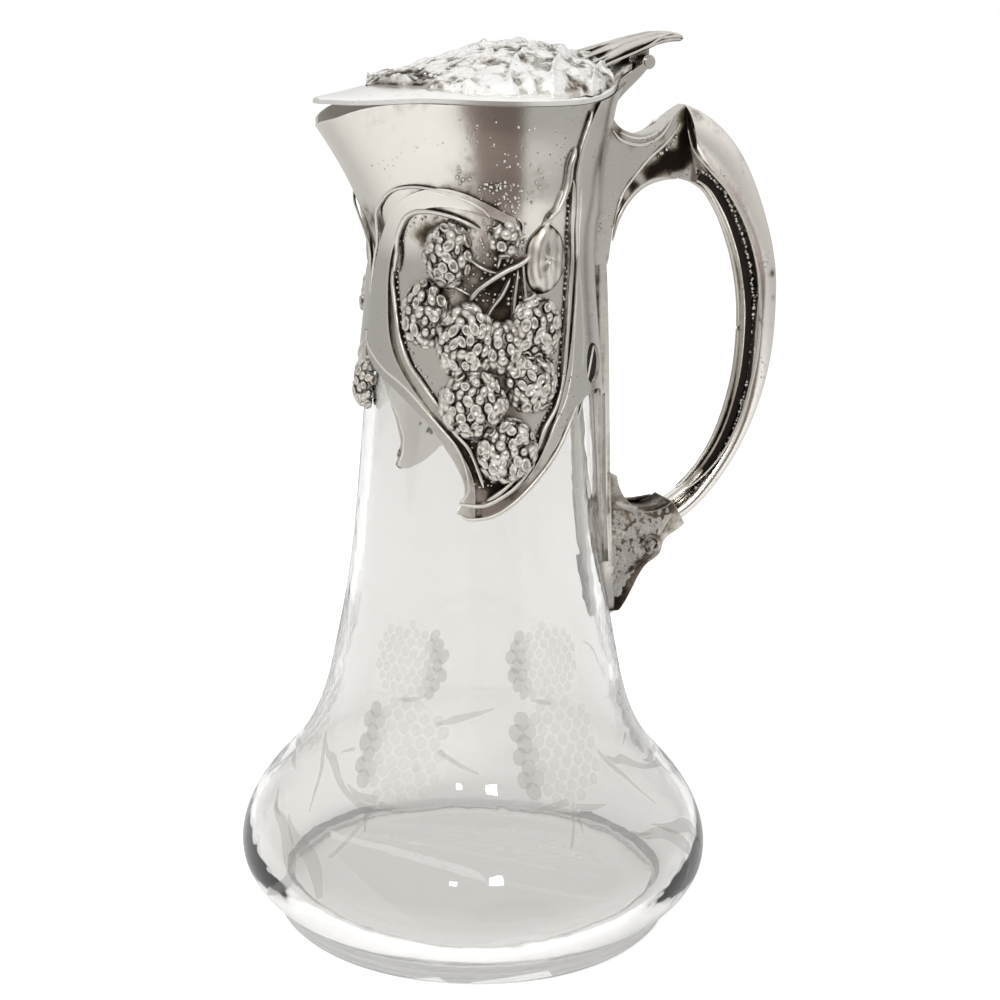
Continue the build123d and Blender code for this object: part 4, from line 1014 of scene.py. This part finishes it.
# ---------------------------------------------------------------- engraving on the glass
wall_arcs = np.concatenate([[0], np.cumsum(np.hypot(np.diff(wall_heights), np.diff(wall_radii)))])
FOOT_EDGE = 6.5
wall_arcs -= np.interp(FOOT_EDGE, wall_heights, wall_arcs)
ETCH_LIFT, GROUND_LIFT = 0.06, 0.03


def glass_wall(angle, arc, lift=ETCH_LIFT):
    """Points on the blown wall. The arc is the way up along its profile from the foot's edge, in mm."""
    height, radius = np.interp(arc, wall_arcs, wall_heights), np.interp(arc, wall_arcs, wall_radii)
    out, rise = (np.interp(arc + 0.5, wall_arcs, column) - np.interp(arc - 0.5, wall_arcs, column)
                 for column in (wall_heights, -wall_radii))
    radius, height, turn = radius + lift * out, height + lift * rise, np.radians(angle)
    return np.stack(np.broadcast_arrays(-radius * np.cos(turn), -radius * np.sin(turn), height), -1)


def wall_degrees(arc):
    """Degrees in a millimetre round the wall."""
    return np.degrees(1 / np.interp(arc, wall_arcs, wall_radii))


def cut_stroke(stops, widths, count=28):
    """A matt stroke along (angle, arc) stops, its width in millimetres varying along it."""
    path = smooth_path(stops, count)
    per = wall_degrees(path[:, 1])[:, None]
    ahead = np.gradient(path / np.concatenate([per, np.ones_like(per)], -1), axis=0)
    ahead /= np.linalg.norm(ahead, axis=1, keepdims=True) + 1e-9
    width = np.interp(np.linspace(0, 1, count), np.linspace(0, 1, len(widths)), widths)[:, None]
    across = np.linspace(-0.5, 0.5, 5)[None, :] * width
    angle, arc = path[:, :1] - ahead[:, 1:] * across * per, path[:, 1:] + ahead[:, :1] * across
    return patch(glass_wall(angle, arc), 0.8)


def cut_cells(angle, arc, half_width, half_height, cell, heavy_side, seed):
    """An engraved blackberry: oval cells in rows, running together on its heavy side."""
    wide, tall = cell
    luck = np.random.default_rng(seed)
    row, col = np.mgrid[-9:10, -9:10]
    u = (col + 0.5 * (row % 2)) * wide * 1.06
    v = row * tall * 0.72
    kept = (u / half_width) ** 2 + (v / half_height) ** 2 < 0.93
    u, v = u[kept] + luck.normal(0, 0.10, kept.sum()), v[kept] + luck.normal(0, 0.12, kept.sum())
    heavy = np.clip((u * heavy_side / half_width - 0.35) * 3, 0, 1)
    size = luck.uniform(0.84, 1.0, len(u)) * (1 + 0.45 * heavy)
    turn = np.linspace(0, 2 * np.pi, 14, endpoint=False)
    ring = np.array([0.0, 0.55, 1.0])[:, None]
    lean = 0.08 + luck.normal(0, 0.1, len(u))
    du = ring * 0.44 * wide * np.cos(turn)
    dv = ring * 0.43 * tall * np.sin(turn)
    across = u[:, None, None] + size[:, None, None] * (du + dv * lean[:, None, None])
    along = v[:, None, None] + size[:, None, None] * dv
    per = wall_degrees(arc + along)
    lift = ETCH_LIFT + 0.004 * np.arange(len(u))[:, None, None] / len(u)
    shade = 0.45 + 0.4 * heavy[:, None, None]
    return patch(glass_wall(angle + across * per, arc + along, lift), shade, wrap=True)


def cut_ground(angle, arc, half_width, half_height):
    """The pale frosted ground under an engraved berry."""
    turn, ring = np.linspace(0, 2 * np.pi, 40, endpoint=False), np.linspace(0, 1, 8)[:, None]
    along = ring * half_height * np.sin(turn)
    around = angle + ring * half_width * np.cos(turn) * wall_degrees(arc + along)
    return patch(glass_wall(around, arc + along, GROUND_LIFT), 0.0, wrap=True)


# Each stroke: its (angle from the motif's middle, arc) stops, and its widths in millimetres.
LEFT_STROKES = [
    ([(13.0, 84.1), (23.6, 87.0), (34.5, 89.6)], (0.9, 2.4, 1.6, 0.4)),
    ([(14.8, 76.2), (21.8, 72.7), (28.6, 70.0)], (1.6, 1.3, 0.5)),
    ([(-24.4, 68.4), (-18.2, 71.3)], (0.4, 1.4)),
    ([(-3.0, 89.9), (3.6, 90.9), (8.7, 92.9)], (0.5, 1.5, 0.4)),
    ([(-15.5, 60.4), (-10.0, 58.2), (-3.0, 58.6)], (0.4, 2.4, 2.4)),
    ([(-1.7, 57.6), (2.6, 56.6), (7.0, 56.5)], (1.8, 2.0, 0.4)),
    ([(-4.4, 55.0), (-4.0, 51.0), (-2.8, 47.9)], (2.4, 1.6, 0.3)),
    ([(-3.6, 56.5), (-5.1, 49.8), (-7.2, 43.2), (-10.1, 37.4)], (2.4, 1.7, 1.5, 1.3)),
    ([(-40.0, 44.6), (-38.7, 42.0), (-30.5, 39.8), (-24.5, 34.8), (-20.5, 26.4), (-31.2, 15.1)],
     (0.6, 3.0, 4.4, 5.6, 4.0, 3.4, 0.8)),
    ([(-44.0, 46.6), (-38.5, 42.6), (-33.5, 41.0)], (0.3, 1.8, 0.3)),
]
RIGHT_STROKES = [
    ([(-7.1, 91.4), (1.6, 89.3)], (0.5, 1.6, 0.8)),
    ([(18.8, 71.2), (24.5, 63.6), (27.3, 59.9), (33.0, 47.6)], (1.6, 2.0, 1.3, 0.4)),
    ([(22.4, 68.6), (25.8, 65.9), (30.3, 65.1), (40.2, 58.7), (52.8, 54.3)], (0.6, 3.4, 2.2, 1.6, 2.8)),
    ([(-10.4, 58.0), (-4.4, 58.3), (1.2, 58.9)], (0.4, 2.0, 2.4)),
    ([(3.0, 57.0), (7.7, 55.6), (13.6, 54.8)], (1.8, 2.1, 0.4)),
    ([(2.4, 56.0), (2.6, 51.5), (2.4, 48.2)], (2.4, 1.7, 0.3)),
    ([(2.4, 58.0), (0.2, 51.0), (-2.5, 44.6)], (2.4, 1.8, 1.6)),
    ([(26.0, 43.2), (32.7, 38.8), (40.5, 35.7), (44.5, 31.3), (47.0, 25.0)], (0.4, 3.2, 5.0, 5.0, 2.6)),
]
etched = []
MOTIF_MIDDLES = 42.8, 98.5, 156.0, -14.0
TOP_ARC, LOW_ARC = 102.2, 74.5
for number, middle in enumerate(MOTIF_MIDDLES):
    left = number % 2 == 0
    heavy = 1 if left else -1
    etched += [cut_stroke([(middle + turn, arc) for turn, arc in stops], widths)
               for stops, widths in (LEFT_STROKES if left else RIGHT_STROKES)]
    top, low = (middle, TOP_ARC), (middle + (0.5 if left else 2.0), LOW_ARC)
    etched += [cut_ground(*low, 15.2, 16.8), cut_cells(*low, 15.2, 16.8, (4.1, 5.0), -1, number)]
    etched += [cut_ground(*top, 12.0, 12.4), cut_cells(*top, 12.0, 12.4, (2.95, 4.0), heavy, number + 20)]

frost, g = blank_finish("etched_glass")
depth = g.add("ShaderNodeAttribute", {"attribute_name": "tarnish"}, out=2)
tone = g.mix(depth, rgb(206, 203, 198), rgb(118, 116, 112))
veil = 0.14 + depth * 0.26
g.surface(g.add("ShaderNodeBsdfPrincipled", None, Base_Color=tone, Roughness=0.7, Alpha=veil))
build("engraving", etched, frost)

finishes = {
    "glass_body": glass, "plaster_bed": plaster, "collar_left": collar_silver, "collar_right": collar_silver,
    "back_strap": strap_silver, "lid": lid_silver, "handle_arm": arm_silver, "handle_sheath": handle_silver,
    "handle_rib": handle_silver, "handle_foot": foot_silver,
}
for name in nodes:
    dress(name, finishes.get(name, silver))
